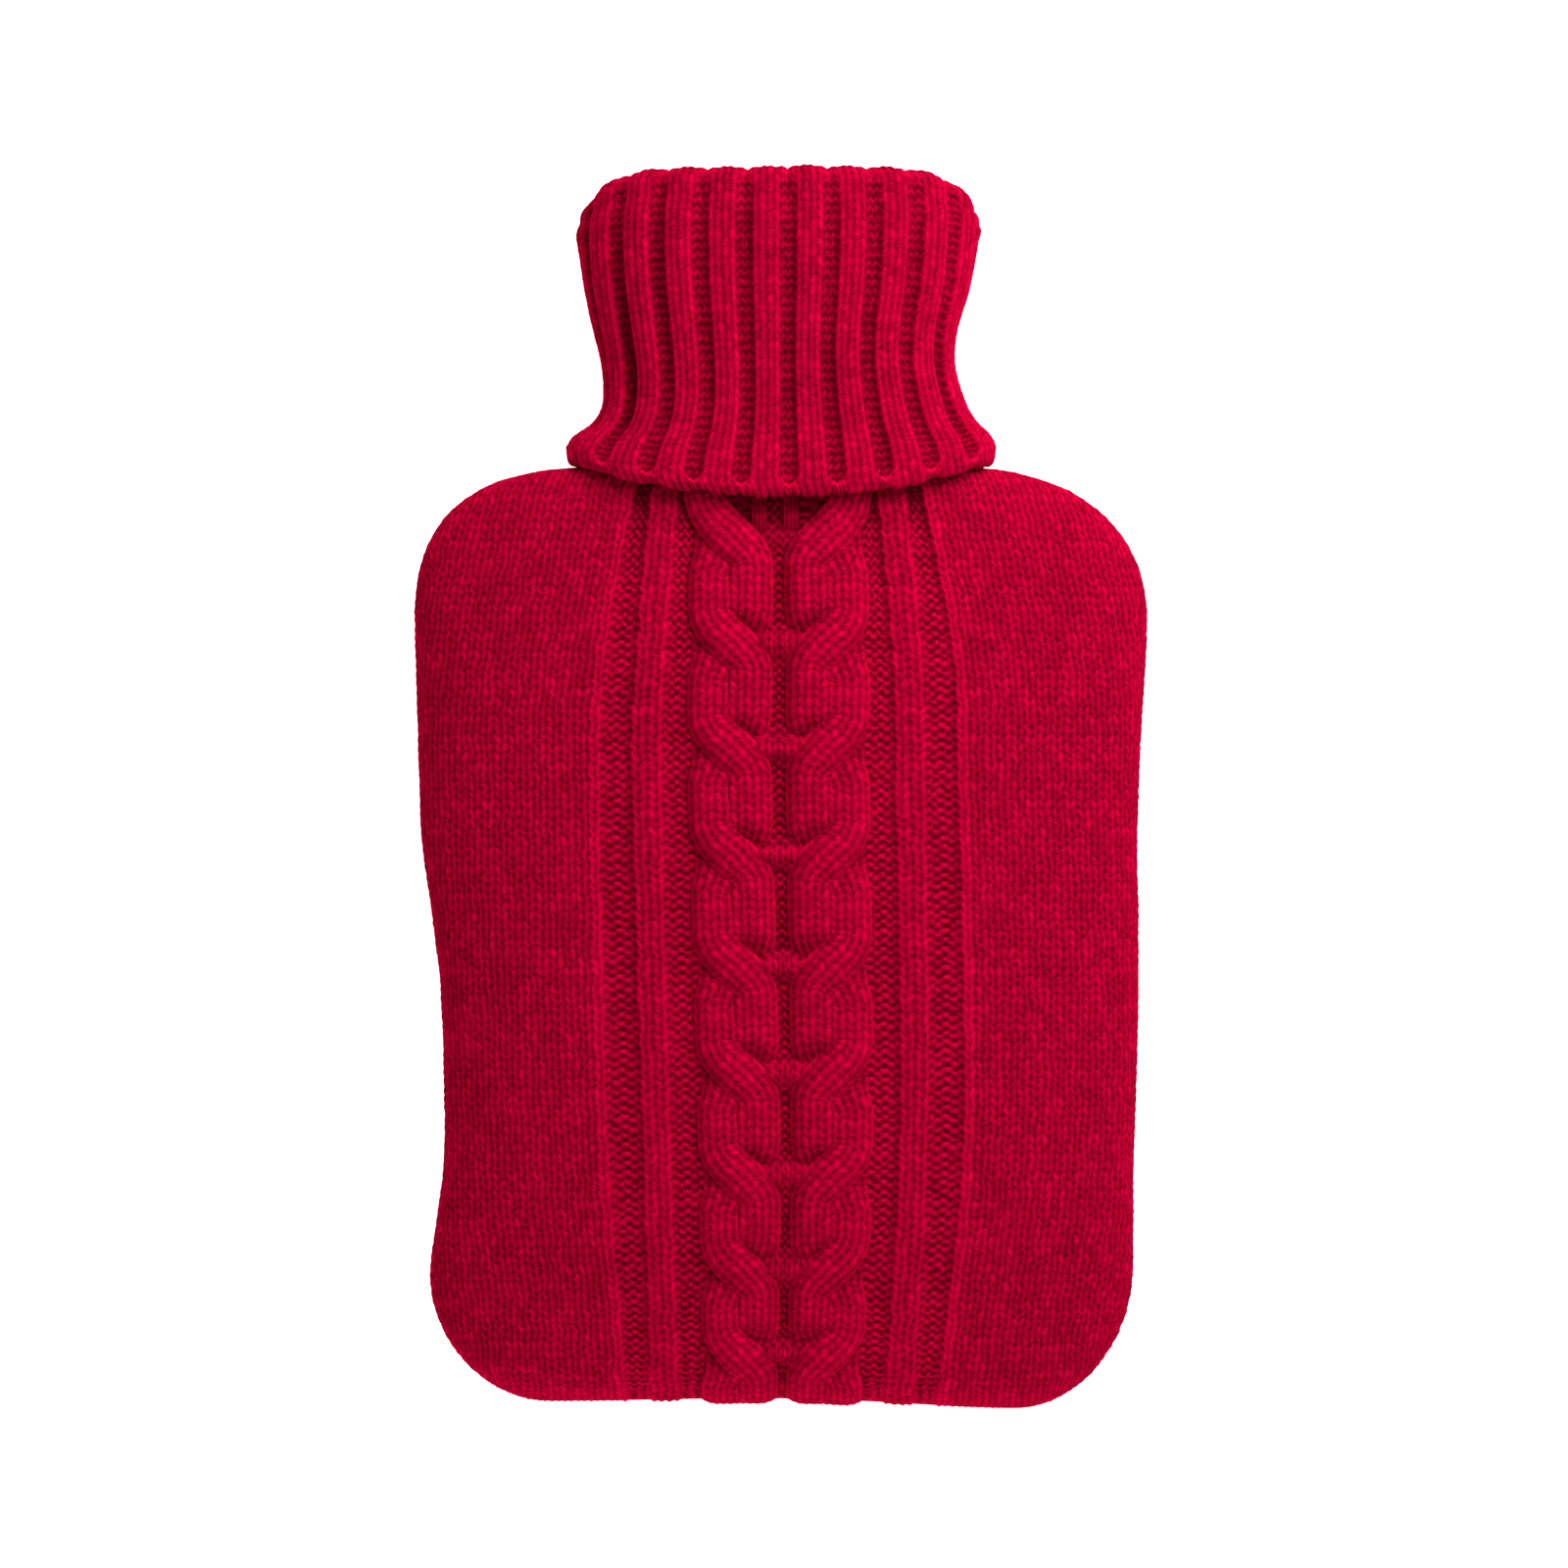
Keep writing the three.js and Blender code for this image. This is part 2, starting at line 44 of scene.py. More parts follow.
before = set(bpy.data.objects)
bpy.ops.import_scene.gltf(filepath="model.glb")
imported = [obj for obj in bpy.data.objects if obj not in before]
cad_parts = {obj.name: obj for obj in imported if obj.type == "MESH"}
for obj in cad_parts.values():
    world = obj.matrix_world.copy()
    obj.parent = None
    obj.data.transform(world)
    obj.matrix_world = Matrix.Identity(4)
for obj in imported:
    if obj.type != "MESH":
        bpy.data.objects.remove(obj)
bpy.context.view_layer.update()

# ---- The bag's form ----

SEAM_HEIGHT = 0.025              # side seams above the surface that the cover lies on
RISE = 0.023                     # front of the bag above the seams
DROP = 0.027                     # back of the bag below the seams, before the surface flattens it
BODY_SQUARENESS = 3.0            # exponent of the bag's cross-section
NECK_SQUARENESS = 2.3            # the same for the neck

BOTTOM_Y = -0.174
CORNER_WIDTH, CORNER_LENGTH = 0.0335, 0.040   # of the rounded bottom corners
BOTTOM_ROUNDING = 0.030          # length over which the bag thins to its bottom seam
BOTTOM_THINNING = 2.4            # exponent of that rounding
BOTTOM_EDGE = 0.00002            # half thickness that is left at the bottom seam
SHOULDER_START_Y, SHOULDER_TOP_Y = 0.045, 0.0900
SHOULDER_POWER = {"left": 2.75, "right": 2.35}   # exponents of the shoulders' curves
NECK_LINE_Y = 0.093              # where the panels end and the roll neck begins
NECK_HALF_WIDTH, NECK_RISE, NECK_DROP = 0.046, 0.0185, 0.017   # the neck's oval, where the panels end
NARROWING_START_Y = 0.020        # from here up the bag thins towards the neck


def table(names, *rows):
    """Named columns of a table, each as an array."""
    return dict(zip(names.split(), np.array(rows).T))


SIDES = table(
    "along left right",
    (-0.174, -0.0984, 0.0985),
    (-0.136, -0.0983, 0.0986),
    (-0.104, -0.0945, 0.0988),
    (-0.059, -0.0952, 0.1001),
    (-0.037, -0.0976, 0.1000),
    (-0.015, -0.1006, 0.0998),
    (0.017, -0.1018, 0.1009),
    (0.045, -0.1025, 0.1025),
    (0.093, -0.1025, 0.1025),
)

# How much higher than its lowest place the bottom seam runs, across the bag.
BOTTOM_SEAM = table(
    "across lift",
    (-0.100, 0.0020),
    (-0.060, 0.0020),
    (0.005, 0.0026),
    (0.062, 0.0),
    (0.100, 0.0004),
)

# The patterned band on the front, measured outwards from its own centre line.
BAND = table(
    "along centre cable_in cable_out rib_in rib_out edge",
    (-0.174, 0.0002, 0.0024, 0.0218, 0.0282, 0.0370, 0.0428),
    (-0.098, 0.0012, 0.0026, 0.0240, 0.0315, 0.0403, 0.0489),
    (0.010, -0.0008, 0.0031, 0.0250, 0.0321, 0.0416, 0.0494),
    (0.033, -0.0006, 0.0030, 0.0250, 0.0313, 0.0409, 0.0485),
    (0.080, -0.0009, 0.0024, 0.0239, 0.0274, 0.0362, 0.0404),
    (0.093, -0.0009, 0.0024, 0.0220, 0.0256, 0.0335, 0.0370),
)

# Where the strands of both cables cross, from the neck down.
CROSSINGS = (0.0661, 0.0369, 0.0077, -0.0223, -0.0532, -0.0829, -0.1113, -0.1376, -0.1634)
CROSSING_START, CROSSING_END = 0.0130, 0.0040   # a strand crosses from this far above to this far below
STRAND_SIDES = (0.25, 0.75)      # strand middles as shares of the cable's width, from its outer side
STRAND_HEIGHT, OVER_STRAND_LIFT = 0.0028, 0.0008   # height of a strand, and more where it crosses over
STRAND_ROUNDNESS = 2.2           # exponent of a strand's cross-section
STRAND_STITCHES = 0.60           # share of the plain stitches' depth that those of a cable have
CROWN_LIGHT = 0.14               # painted highlight on the raised wool of the cables
STRAND_SINK = 0.0022             # a strand's free edges go down this far below the plain cloth
STRAND_EDGE_FADE = (0.06, 0.12)  # its stitches flatten towards its edges, in columns
STRAND_LEG, STRAND_LEG_WIDTH = 0.30, 0.22   # where its outer legs catch light, in columns from its edges
STRAND_SWELL = 0.10              # share of its width that a strand gains where it crosses over
EMERGE_TILT = 0.0016             # a strand comes out with its inner edge this much lower
EMERGE_TILT_REACH = (0.002, 0.015)   # which ends this far below the crossing
EMERGE_TILT_SHARE = (0.15, 0.9)  # and grows over this share of its width, from its outer edge
STRAND_OVERLAP = 1.04            # width of a strand as a share of half a cable
STRAND_SPREAD = 0.0016           # both strands together are wider than their strip of the band by this
VALLEY = 0.06                    # share of its height that a strand loses beside its neighbour
DIVE = (0.0150, 0.0030)          # a strand goes under from this far above a crossing to this far
CREASE = 0.60                    # share of its height that it loses towards the strand that it covers
CREASE_START, CREASE_END = 0.002, 0.008   # and all of it from this far above the crossing upwards
TUCK_WIDTH, TUCK_REACH = 0.0018, 0.0065   # extra width of a strand where it comes out from under another
CORNER_DRAW, CORNER_REACH = 0.0012, 0.008  # its outer corner is drawn in there
EMERGE = (-0.0060, 0.0030)       # and comes out from this far above the one before to this far below it
LATE = (-0.001, 0.009)           # this far below its crossing a strand lies level with its neighbour
NEAR_REACH = 0.70                # share of a crossing's length in which its strand is raised
SUNK_SHADE = 1.1                 # shade of a strand where it goes under
EDGE_SHADE, EDGE_LIGHT = 0.25, 0.55   # shade low on a strand's free edges, and light on its outer legs
EDGE_SHADE_TOP = 0.0004          # the shade begins this far above the plain cloth
DIVE_TURN = 0.35                 # share of a crossing that a strand turns as it goes under
DIVE_TAIL, SUNK_BELOW = 0.005, 0.0012   # length that runs on hidden, and how deep it lies there
PATH_STEPS, SECTION_STEPS = 400, 81   # straight steps along a strand, and across it
SECTION_SLOPE = 0.55             # share of a strand's slopes that counts when its legs are spread over it
STRAND_COLUMNS = 3               # stitches in the width of a strand
NECK_SPREAD = 0.12               # the first strands spread outwards under the roll neck, in cable widths
NECK_SPREAD_REACH = (0.007, 0.020)   # from this far above the first crossing to this far
CABLE_TOP_Y = 0.0905             # the first strands start here, under the hem
BRIDGE_HEIGHT = 0.0026           # the cloth between the cables stands up by this where they draw near
BRIDGE_ABOVE, BRIDGE_REACH = 0.0035, 0.0060   # middle above each crossing, and half length
FIRST_BRIDGE = 0.4               # the one under the roll neck is this much weaker
THROAT_Y = 0.0735                # above this the ground between the cables is the shaded inner neck
THROAT_DEPTH, THROAT_FADE = 0.0012, 0.004
RAISED_CALM = 0.85               # share of their depth that stitches lose on the bridges and in the throat
GROOVE_SHADE = 0.80              # how shaded the purl grooves are
SLOT_SHADE, THROAT_SHADE = 1.35, -0.30    # and the ground between the cables, and the inner neck
HEM_SHADE, HEM_SHADE_REACH = 1.5, 0.008  # extra shade of the grooves just under the roll neck's hem
LINE_LIGHT = 0.9                 # painted highlight on the outer legs of each raised rib
LIP_LIGHT = 0.7                  # and painted highlight on the first plain column beside a groove
UNDER_STRIP = 0.0042             # the purl ground reaches in this far below a cable before it is hidden
NECK_RIB_PLACES = (-0.0062, 0.0027)   # ribs of the inner neck that show in the throat
NECK_RIB_TOP, NECK_RIB_END, NECK_RIB_HALF_WIDTH = 0.0925, 0.0715, 0.0023
NECK_RIB_HEIGHT, NECK_RIB_SINK, NECK_RIB_SHADE = 0.0012, 0.0016, 0.25
NECK_RIB_COURSES, NECK_RIB_ROUNDNESS, NECK_RIB_TAPER = 9, 3, 0.004
GROOVE_DEPTH = 0.0012            # purl grooves below the plain cloth
SLOT_DEPTH, SLOT_FULL_Y = 0.0022, 0.080   # the same where the neck draws them in, and where that is full
BORDER_PURL, BORDER_SUNK = 0.5, 0.55   # the line between knit and purl is partly purl and partly sunk
RIB_HEIGHT, RIB_ROUNDING = 0.0006, 0.35   # raised ribs, and the share of it that they lose at their sides
LIP_HEIGHT, LIP_FALL = 0.0005, 2.2   # the first plain column beside a groove stands up, less further out
CABLE_FADE = 0.011               # the cables sink over this length into the bottom seam
RELIEF_FADE = 0.006              # the relief dies out this close to the bottom seam
SLOT_COLUMNS, CABLE_COLUMNS = 2, 4   # columns from the centre line out to the cable, and past it

# Soft troughs and ridges of the front: where each starts and ends, its half width and its height.
CREASES = (
    (-0.074, -0.147, 0.080, -0.149, 0.0175, -0.0042),
    (-0.070, -0.134, 0.006, -0.139, 0.0090, -0.0008),
    (0.020, -0.140, 0.086, -0.136, 0.0085, -0.0006),
    (-0.066, -0.139, -0.052, -0.148, 0.0100, -0.0012),
    (-0.080, -0.160, -0.012, -0.162, 0.0065, 0.0010),
    (0.010, -0.162, 0.082, -0.161, 0.0060, 0.0008),
    (-0.090, -0.098, -0.082, -0.060, 0.0090, -0.0007),
    (-0.062, 0.052, -0.040, 0.066, 0.0075, -0.0008),
    (0.048, 0.070, 0.064, 0.052, 0.0075, -0.0007),
    (-0.070, -0.020, -0.058, -0.090, 0.0140, 0.0006),
    (0.066, 0.010, 0.074, -0.070, 0.0150, 0.0006),
)

CREASE_FADE = 0.014              # length over the cloth in which they begin, from the bottom seam
CREASE_SIDE = 0.55               # share of the bag's height in which they begin, from the side seams

# ---- The roll neck's form ----

# Outer face of the turned-down layer, from the hem up to the fold.
ROLL = table(
    "along left right front back power",
    (0.0818, -0.0596, 0.0593, 0.0266, 0.0240, 3.0),
    (0.0860, -0.0598, 0.0596, 0.0264, 0.0240, 3.0),
    (0.0930, -0.0574, 0.0582, 0.0252, 0.0236, 2.9),
    (0.1000, -0.0524, 0.0548, 0.0236, 0.0228, 3.0),
    (0.1080, -0.0492, 0.0512, 0.0226, 0.0222, 3.2),
    (0.1180, -0.0494, 0.0483, 0.0224, 0.0220, 3.2),
    (0.1280, -0.0518, 0.0488, 0.0230, 0.0226, 3.0),
    (0.1400, -0.0548, 0.0526, 0.0240, 0.0232, 2.7),
    (0.1540, -0.0568, 0.0552, 0.0248, 0.0238, 2.4),
    (0.1650, -0.0560, 0.0556, 0.0242, 0.0234, 2.3),
    (0.1740, -0.0500, 0.0494, 0.0210, 0.0206, 2.3),
)
HEM_Y, FOLD_Y = 0.0818, 0.174
LAYER_SPACE = 0.0008             # between the two layers of the roll
FOLD_DEPTH = 0.006               # length over which the cloth turns over the fold
# The fold lies this much lower at the neck's sides, by a curve of this power, over this length.
FOLD_SIDE_DROP, FOLD_CURVE, FOLD_DROP_REACH = 0.0082, 7.0, 0.026
FOLD_BACK_DROP = 0.0030          # the fold lies this much lower at the back of the neck
FOLD_SINK, ROLL_SINK = 0.0011, 0.0008   # the stitches' own height is taken off the form by these
HEM_SCALLOP, HEM_BEAD = 0.0003, 0.0007   # how far ribs and single stitches stand out of the hem's edge
HEM_FRAY = 0.35                  # unevenness of those stitches
# The hem lies this much higher at the neck's sides, in the same way.
HEM_SIDE_RISE, HEM_CURVE, HEM_RISE_REACH = 0.0095, 2.2, 0.026
FOOT_INSET, FOOT_TOP_Y = 0.0032, 0.106   # the roll grows out of the panels this far inside their neck
LINING_TOP_Y, LINING_END_Y = 0.160, 0.104   # the outer layer's hidden side goes up to here and down again
OVAL_TOP_Y = 0.165               # from here up the neck's oval keeps its size
ROLL_REPEATS, REPEAT_COLUMNS = 22, 4   # knit ribs round the neck, and columns of each with its groove
ROLL_PHASE = 0.16                # share of a repeat from the front centre to a groove
ROLL_RELIEF, BORE_RELIEF = 0.0013, 0.0005   # height of the ribs outside, and inside the neck
INNER_CALM, HEM_CALM = 0.8, 0.7  # share of their depth that stitches keep inside the neck, and at the hem
RIB_SIDE, RIB_SWELL, RIB_FLATNESS = -0.30, 1.30, 4   # a rib's height at its sides, its swell and its form
BORDER_FORM = -0.35              # height at the line where a rib ends
FOLD_TOP, HEM_TOP = 0.9, 0.75    # height of the ribs over the fold, and of the cloth below the grooves' ends
ROLL_WANDER, ROLL_PATCHES = 0.00025, (12, 60)   # slow unevenness, and its lengths in courses
HEM_PATCHES = (1.6, 12)          # lengths of the hem's unevenness, in columns
BACK_SHARE = (-0.5, 0.2)         # from this share of its depth to this the neck counts as its back
GROOVE_SHARE = 0.31              # share of a repeat that the groove takes
FOLD_RIBS, FOLD_LOBE = 2.0, 0.8  # depth of the notches between the ribs over the fold, and their form
RIM_HEIGHT, RIM_LIGHT = 0.5, 1.6   # the loops that close each groove at the hem stand up and catch light
ROLL_SHADE = 0.95                # how shaded the grooves are
ROLL_PURL = 0.52                 # share of the purl look that the grooves have, so narrow and deep
ROLL_SLANT = 0.60                # share of the plain stitches' slant that those of the roll have
RIB_LIGHT = 0.08                 # painted highlight on the ribs
# Over this height below the top of the fold the ribs take the fold's form, and over this its look.
FOLD_FORM_REACH, FOLD_LOOK_REACH = (4.0, 0.6), (0.9, 0.3)   # in lengths of FOLD_DEPTH
FOLD_CALM, FOLD_KNIT, FOLD_LIGHT = 0.45, 0.7, (0.3, 0.7)   # stitches, purl and shade that are lost there
# Grooves that are pinched at the waist: which one, from where to where along the neck, and how much.
ROLL_CREASES = ((-4, 0.096, 0.142, 1.0), (4, 0.098, 0.128, 0.5), (-3, 0.118, 0.160, 0.3))
PINCH_DEPTH, PINCH_SHADE, PINCH_WIDTH = 0.0011, 0.9, 0.16
INNER_SHADE = 0.5                # shade of the roll's inside
HEM_CLOSING, HEM_BEND = 0.0016, 0.0016   # the grooves close this far above the hem, in a bend so deep
HEM_LEAN = 0.0042                # share of the way round by which the last stitches lean aside
OVAL_STEPS = 1500                # straight steps in half of the neck's oval
HEM_STEPS, LINING_STEPS, LINING_END_STEPS = 9, 9, 6
SEWN_GAP = 0.0003                # between the panels and the roll's foot
LEAN_FROM, PURL_FROM = 0.65, 0.3   # least height of stitches that lean, and of ribs with purl grooves

# ---- Stitches ----

PLAIN_COLUMNS = 20               # columns of the front outside its band, on each side
BACK_COLUMNS = 34                # columns of the back on each side of its middle
LINES_PER_COLUMN = 4             # lines of the mesh in each column of stitches
LINES_PER_COURSE = 4
FACE_STEPS = 240                 # straight steps in half of a cross-section
SEAM_FADE = 0.0022               # stitches flatten over this length into a side seam
LENGTH_STEPS = 6000              # straight steps along the bag
TINY = 1e-5                      # step over which the bag's growth is measured
WELD_REACH, FOOT_WELD_REACH = 2e-6, 1e-6   # points this near are joined on a seam, and at the roll's foot
BACK_LINES_PER_COURSE = 3
LEG_TILT = 0.05                  # share of a column by which each leg leans outwards as it goes up
LEG_BASE, LEG_ROUND, BEAD_ROUND = 0.04, 0.68, 0.21   # a knit stitch's height: middle, legs and beads
COLUMN_SHAPE = 1.4               # width of a stitch in courses
FELTED = (5, 16)                 # shortest and longest patches of more felted wool, in courses
RELIEF_KEPT, FELTED_LOSS, RELIEF_SCATTER = 0.85, 0.22, 1.6
PUSHED_ASIDE, PUSHED_UP = 0.10, 0.16   # how far legs are pushed, as shares of a column and of a course
SLOW_WANDER, SLOW_WANDER_SHARE = (9, 40), 0.05   # lengths in courses, and share of a column
QUICK_WANDER, QUICK_WANDER_SHARE = (2.5, 6), 0.04
WANDER_SEED = 7
FRONT_SEED, STRAND_SEED, BACK_SEED, ROLL_SEED, NECK_RIB_SEED = 11, 40, 61, 70, 90
ASIDE_SEED, UP_SEED = 300, 600


def smooth_step(low, high, x):
    """0 up to low, 1 from high on, and an even curve between them."""
    t = np.clip((np.asarray(x, float) - low) / (high - low), 0, 1)
    return t * t * (3 - 2 * t)


def blend(low, high, share):
    """Value at this share of the way from low to high."""
    return low + (high - low) * share


def draw_in(t, power):
    """How far a rounded corner has drawn in, 0 to 1, at share t of its length."""
    return 1 - (1 - np.clip(t, 0, 1) ** power) ** (1 / power)


def column_at(rows, column, place, key="along"):
    """Smooth curve through one column of a table, read at places in its key column."""
    keys, values = rows[key], rows[column]
    low = np.r_[0, np.arange(len(keys) - 1)]
    high = np.r_[np.arange(1, len(keys)), len(keys) - 1]
    slopes = (values[high] - values[low]) / (keys[high] - keys[low])
    place = np.clip(place, keys[0], keys[-1])
    i = np.clip(np.searchsorted(keys, place) - 1, 0, len(keys) - 2)
    step = keys[i + 1] - keys[i]
    t = (place - keys[i]) / step
    ease = t * t * (3 - 2 * t)
    bend = slopes[i] * (1 - t) ** 2 * t - slopes[i + 1] * t * t * (1 - t)
    return blend(values[i], values[i + 1], ease) + step * bend


def side_seam(side, along):
    """Side seam at places along the bag, with its bottom corner and its shoulder."""
    sign = -1 if side == "left" else 1
    full = sign * column_at(SIDES, side, along)
    corner = draw_in((BOTTOM_Y + CORNER_LENGTH - along) / CORNER_LENGTH, 2)
    climb = (along - SHOULDER_START_Y) / (SHOULDER_TOP_Y - SHOULDER_START_Y)
    shoulder = draw_in(climb, SHOULDER_POWER[side])
    return sign * (full - CORNER_WIDTH * corner - (full - NECK_HALF_WIDTH) * shoulder)


def fullness(along, front):
    """Half thickness of the bag above or below its seams."""
    thinning = draw_in((BOTTOM_Y + BOTTOM_ROUNDING - along) / BOTTOM_ROUNDING, BOTTOM_THINNING)
    neck = smooth_step(NARROWING_START_Y, NECK_LINE_Y, along)
    body, top = (RISE, NECK_RISE) if front else (DROP, NECK_DROP)
    return np.maximum(blend(body, top, neck) * (1 - thinning), BOTTOM_EDGE)


def seam_lift(x, along):
    """How far the uneven bottom seam pulls the cloth up near the bottom."""
    share = 1 - smooth_step(BOTTOM_Y, BOTTOM_Y + CORNER_LENGTH, along)
    return column_at(BOTTOM_SEAM, "lift", x, "across") * share


def creases(x, along):
    """Height of the soft troughs and ridges in the front of the bag."""
    height = np.zeros_like(x)
    for start_x, start_y, end_x, end_y, width, lift in CREASES:
        run_x, run_y = end_x - start_x, end_y - start_y
        length = math.hypot(run_x, run_y)
        share = ((x - start_x) * run_x + (along - start_y) * run_y) / length**2
        beside = ((x - start_x) * run_y - (along - start_y) * run_x) / length
        past = np.maximum(np.abs(share - 0.5) - 0.5, 0) * length
        height = height + lift * np.exp(-((beside / width) ** 2) - (past / width) ** 2)
    return height


class Wander:
    """Soft unevenness over a sheet of stitches, from a few long waves that never repeat alike."""

    def __init__(self, seed, shortest, longest, waves=9):
        chance = np.random.default_rng(seed)
        lengths = np.exp(chance.uniform(math.log(shortest), math.log(longest), waves))
        turns = chance.uniform(0, 2 * math.pi, waves)
        self.a = np.cos(turns) * 2 * math.pi / lengths
        self.b = np.sin(turns) * 2 * math.pi / lengths
        self.start = chance.uniform(0, 2 * math.pi, waves)

    def __call__(self, x, y):
        waves = [np.sin(a * x + b * y + s) for a, b, s in zip(self.a, self.b, self.start)]
        return sum(waves) / math.sqrt(len(waves))


class Scatter:
    """Chance from -1 to 1 for each leg of each stitch, joined smoothly to the next."""

    def __init__(self, seed, columns, courses):
        chance = np.random.default_rng(WANDER_SEED * 1000 + seed)
        self.values = chance.uniform(-1, 1, (courses + 3, columns * 2))

    def __call__(self, column, course):
        across, up = np.broadcast_arrays(2 * column - 0.5, course)
        i, j = np.floor(across).astype(int), np.floor(up).astype(int)
        right, above = smooth_step(0, 1, across - i), smooth_step(0, 1, up - j)
        wide, high = self.values.shape[1], self.values.shape[0]
        corner = [self.values[(j + b) % high, (i + a) % wide] for b in (0, 1) for a in (0, 1)]
        low = blend(corner[0], corner[1], right)
        return blend(low, blend(corner[2], corner[3], right), above)


class BagFace:
    """Front or back of the bag. run is the length over the cloth from the bottom seam upwards."""

    def __init__(self, front):
        self.front = front
        share = np.linspace(0, 1, LENGTH_STEPS + 1)
        self.places = BOTTOM_Y + (NECK_LINE_Y - BOTTOM_Y) * share**2
        height = fullness(self.places, front)
        if not front:
            height = np.minimum(height, SEAM_HEIGHT)
        steps = np.hypot(np.diff(self.places), np.diff(height))
        self.runs = np.r_[0, np.cumsum(steps)]
        self.length = self.runs[-1]

    def place(self, run):
        """Place along the bag at a run over the cloth."""
        return np.interp(run, self.runs, self.places)

    def run(self, along):
        """Run over the cloth up to a place along the bag."""
        return np.interp(along, self.places, self.runs)

    def section(self, along):
        """The bag's cross-section: its centre line, half width, height and squareness."""
        left, right = side_seam("left", along), side_seam("right", along)
        towards_neck = smooth_step(SHOULDER_START_Y, NECK_LINE_Y, along)
        return {
            "centre": (left + right) / 2,
            "half": (right - left) / 2,
            "height": fullness(along, self.front),
            "power": blend(BODY_SQUARENESS, NECK_SQUARENESS, towards_neck),
        }

    def surface(self, x, run):
        """Points of the face, and the directions that stand square on it."""
        along = self.place(run)
        here, above = self.section(along), self.section(along + TINY)
        power = here["power"]
        out = (x - here["centre"]) / here["half"]
        share = np.clip(np.abs(out), 0, 1)
        arch = (1 - share**power) ** (1 / power)
        depth = here["height"] * arch
        flat = np.zeros_like(depth, bool) if self.front else depth > SEAM_HEIGHT
        if not self.front:
            depth = np.minimum(depth, SEAM_HEIGHT)
        sign = 1 if self.front else -1
        z = SEAM_HEIGHT + sign * depth
        growth = {name: (above[name] - here[name]) / TINY for name in ("centre", "half", "height")}
        across = share ** (power - 1) / here["half"] * np.sign(out)
        upwards = arch ** (power - 1) / here["height"]
        lengthwise = -across * growth["centre"] - share**power * growth["half"] / here["half"]
        lengthwise = lengthwise - arch**power * growth["height"] / here["height"]
        square = np.stack([across, lengthwise, sign * upwards], -1)
        square[flat] = (0, 0, -1)
        square /= np.linalg.norm(square, axis=-1, keepdims=True)
        points = np.stack([x, along + seam_lift(x, along), z], -1)
        if self.front:
            kept = smooth_step(0, CREASE_FADE, run) * smooth_step(0, CREASE_SIDE, arch)
            points = points + square * (creases(x, along) * kept)[..., None]
        return points, square

    def across_by_length(self, runs, start, lengths, sign):
        """x at these lengths over the cloth from start towards a side seam, where they stop, and how
        much cloth is left between each of them and the seam. A row for each run."""
        turn = np.linspace(0, math.pi / 2, FACE_STEPS)
        x, left = np.empty((len(runs), len(lengths))), np.empty((len(runs), len(lengths)))
        section = self.section(self.place(runs))
        for row in range(len(runs)):
            centre, half, height, power = (section[name][row] for name in section)
            path_x = half * np.sin(turn) ** (2 / power)
            path_z = height * np.cos(turn) ** (2 / power)
            if not self.front:
                path_z = np.minimum(path_z, SEAM_HEIGHT)
            path = np.r_[0, np.cumsum(np.hypot(np.diff(path_x), np.diff(path_z)))]
            from_centre = sign * (start[row] - centre)
            at = np.interp(abs(from_centre), path_x, path) * np.sign(from_centre) + lengths
            x[row] = centre + sign * np.interp(np.abs(at), path, path_x) * np.sign(at)
            left[row] = path[-1] - at
        return x, left


# ---- Stitch shapes ----

# How clear the beads along the legs are, and how far the purl bumps join into chains.
Look = namedtuple("Look", "beads chain")
BODY_LOOK, ROLL_LOOK = Look(1.0, 0.16), Look(0.35, 0.50)


def knit_height(u, v, look):
    """Height of knit stitches in their own column u and course v, from about -1 to 1: two legs to a
    column, each a bead that ends where the next course begins."""
    legs, beads = np.cos(4 * math.pi * u), look.beads * np.cos(2 * math.pi * v)
    return LEG_BASE - LEG_ROUND * legs - BEAD_ROUND * beads


def purl_height(u, v, slant, look):
    """Height of purl stitches: short curved bumps that lock into those of the next course, and a chain
    that joins them."""
    wave = np.cos(2 * math.pi * u)
    locked = wave * np.cos(2 * math.pi * (v + slant * wave))
    return (1 - look.chain) * locked + look.chain * np.cos(2 * math.pi * (v + 0.25))


def leaning(grid, shift):
    """A grid's columns moved along by shift, in rows of the grid, which slants each stitch's legs. Its
    first and last rows stay in place."""
    rows = grid.shape[0]
    row = np.arange(rows)[:, None]
    free = np.clip(np.minimum(row, rows - 1 - row) / LINES_PER_COURSE, 0, 1)
    at = np.clip(row + shift * free, 0, rows - 1)
    low = np.clip(np.floor(at).astype(int), 0, rows - 2)
    share = at - low
    if grid.ndim == 3:
        share = share[..., None]
    lines = np.arange(grid.shape[1])[None, :]
    return grid[low, lines] * (1 - share) + grid[low + 1, lines] * share


def square_to(points, closed=False):
    """Directions that stand square on a grid of points."""
    if closed:
        across = np.roll(points, -1, 1) - np.roll(points, 1, 1)
    else:
        across = np.gradient(points, axis=1)
    square = np.cross(across, np.gradient(points, axis=0))
    return square / np.maximum(np.linalg.norm(square, axis=-1, keepdims=True), 1e-12)


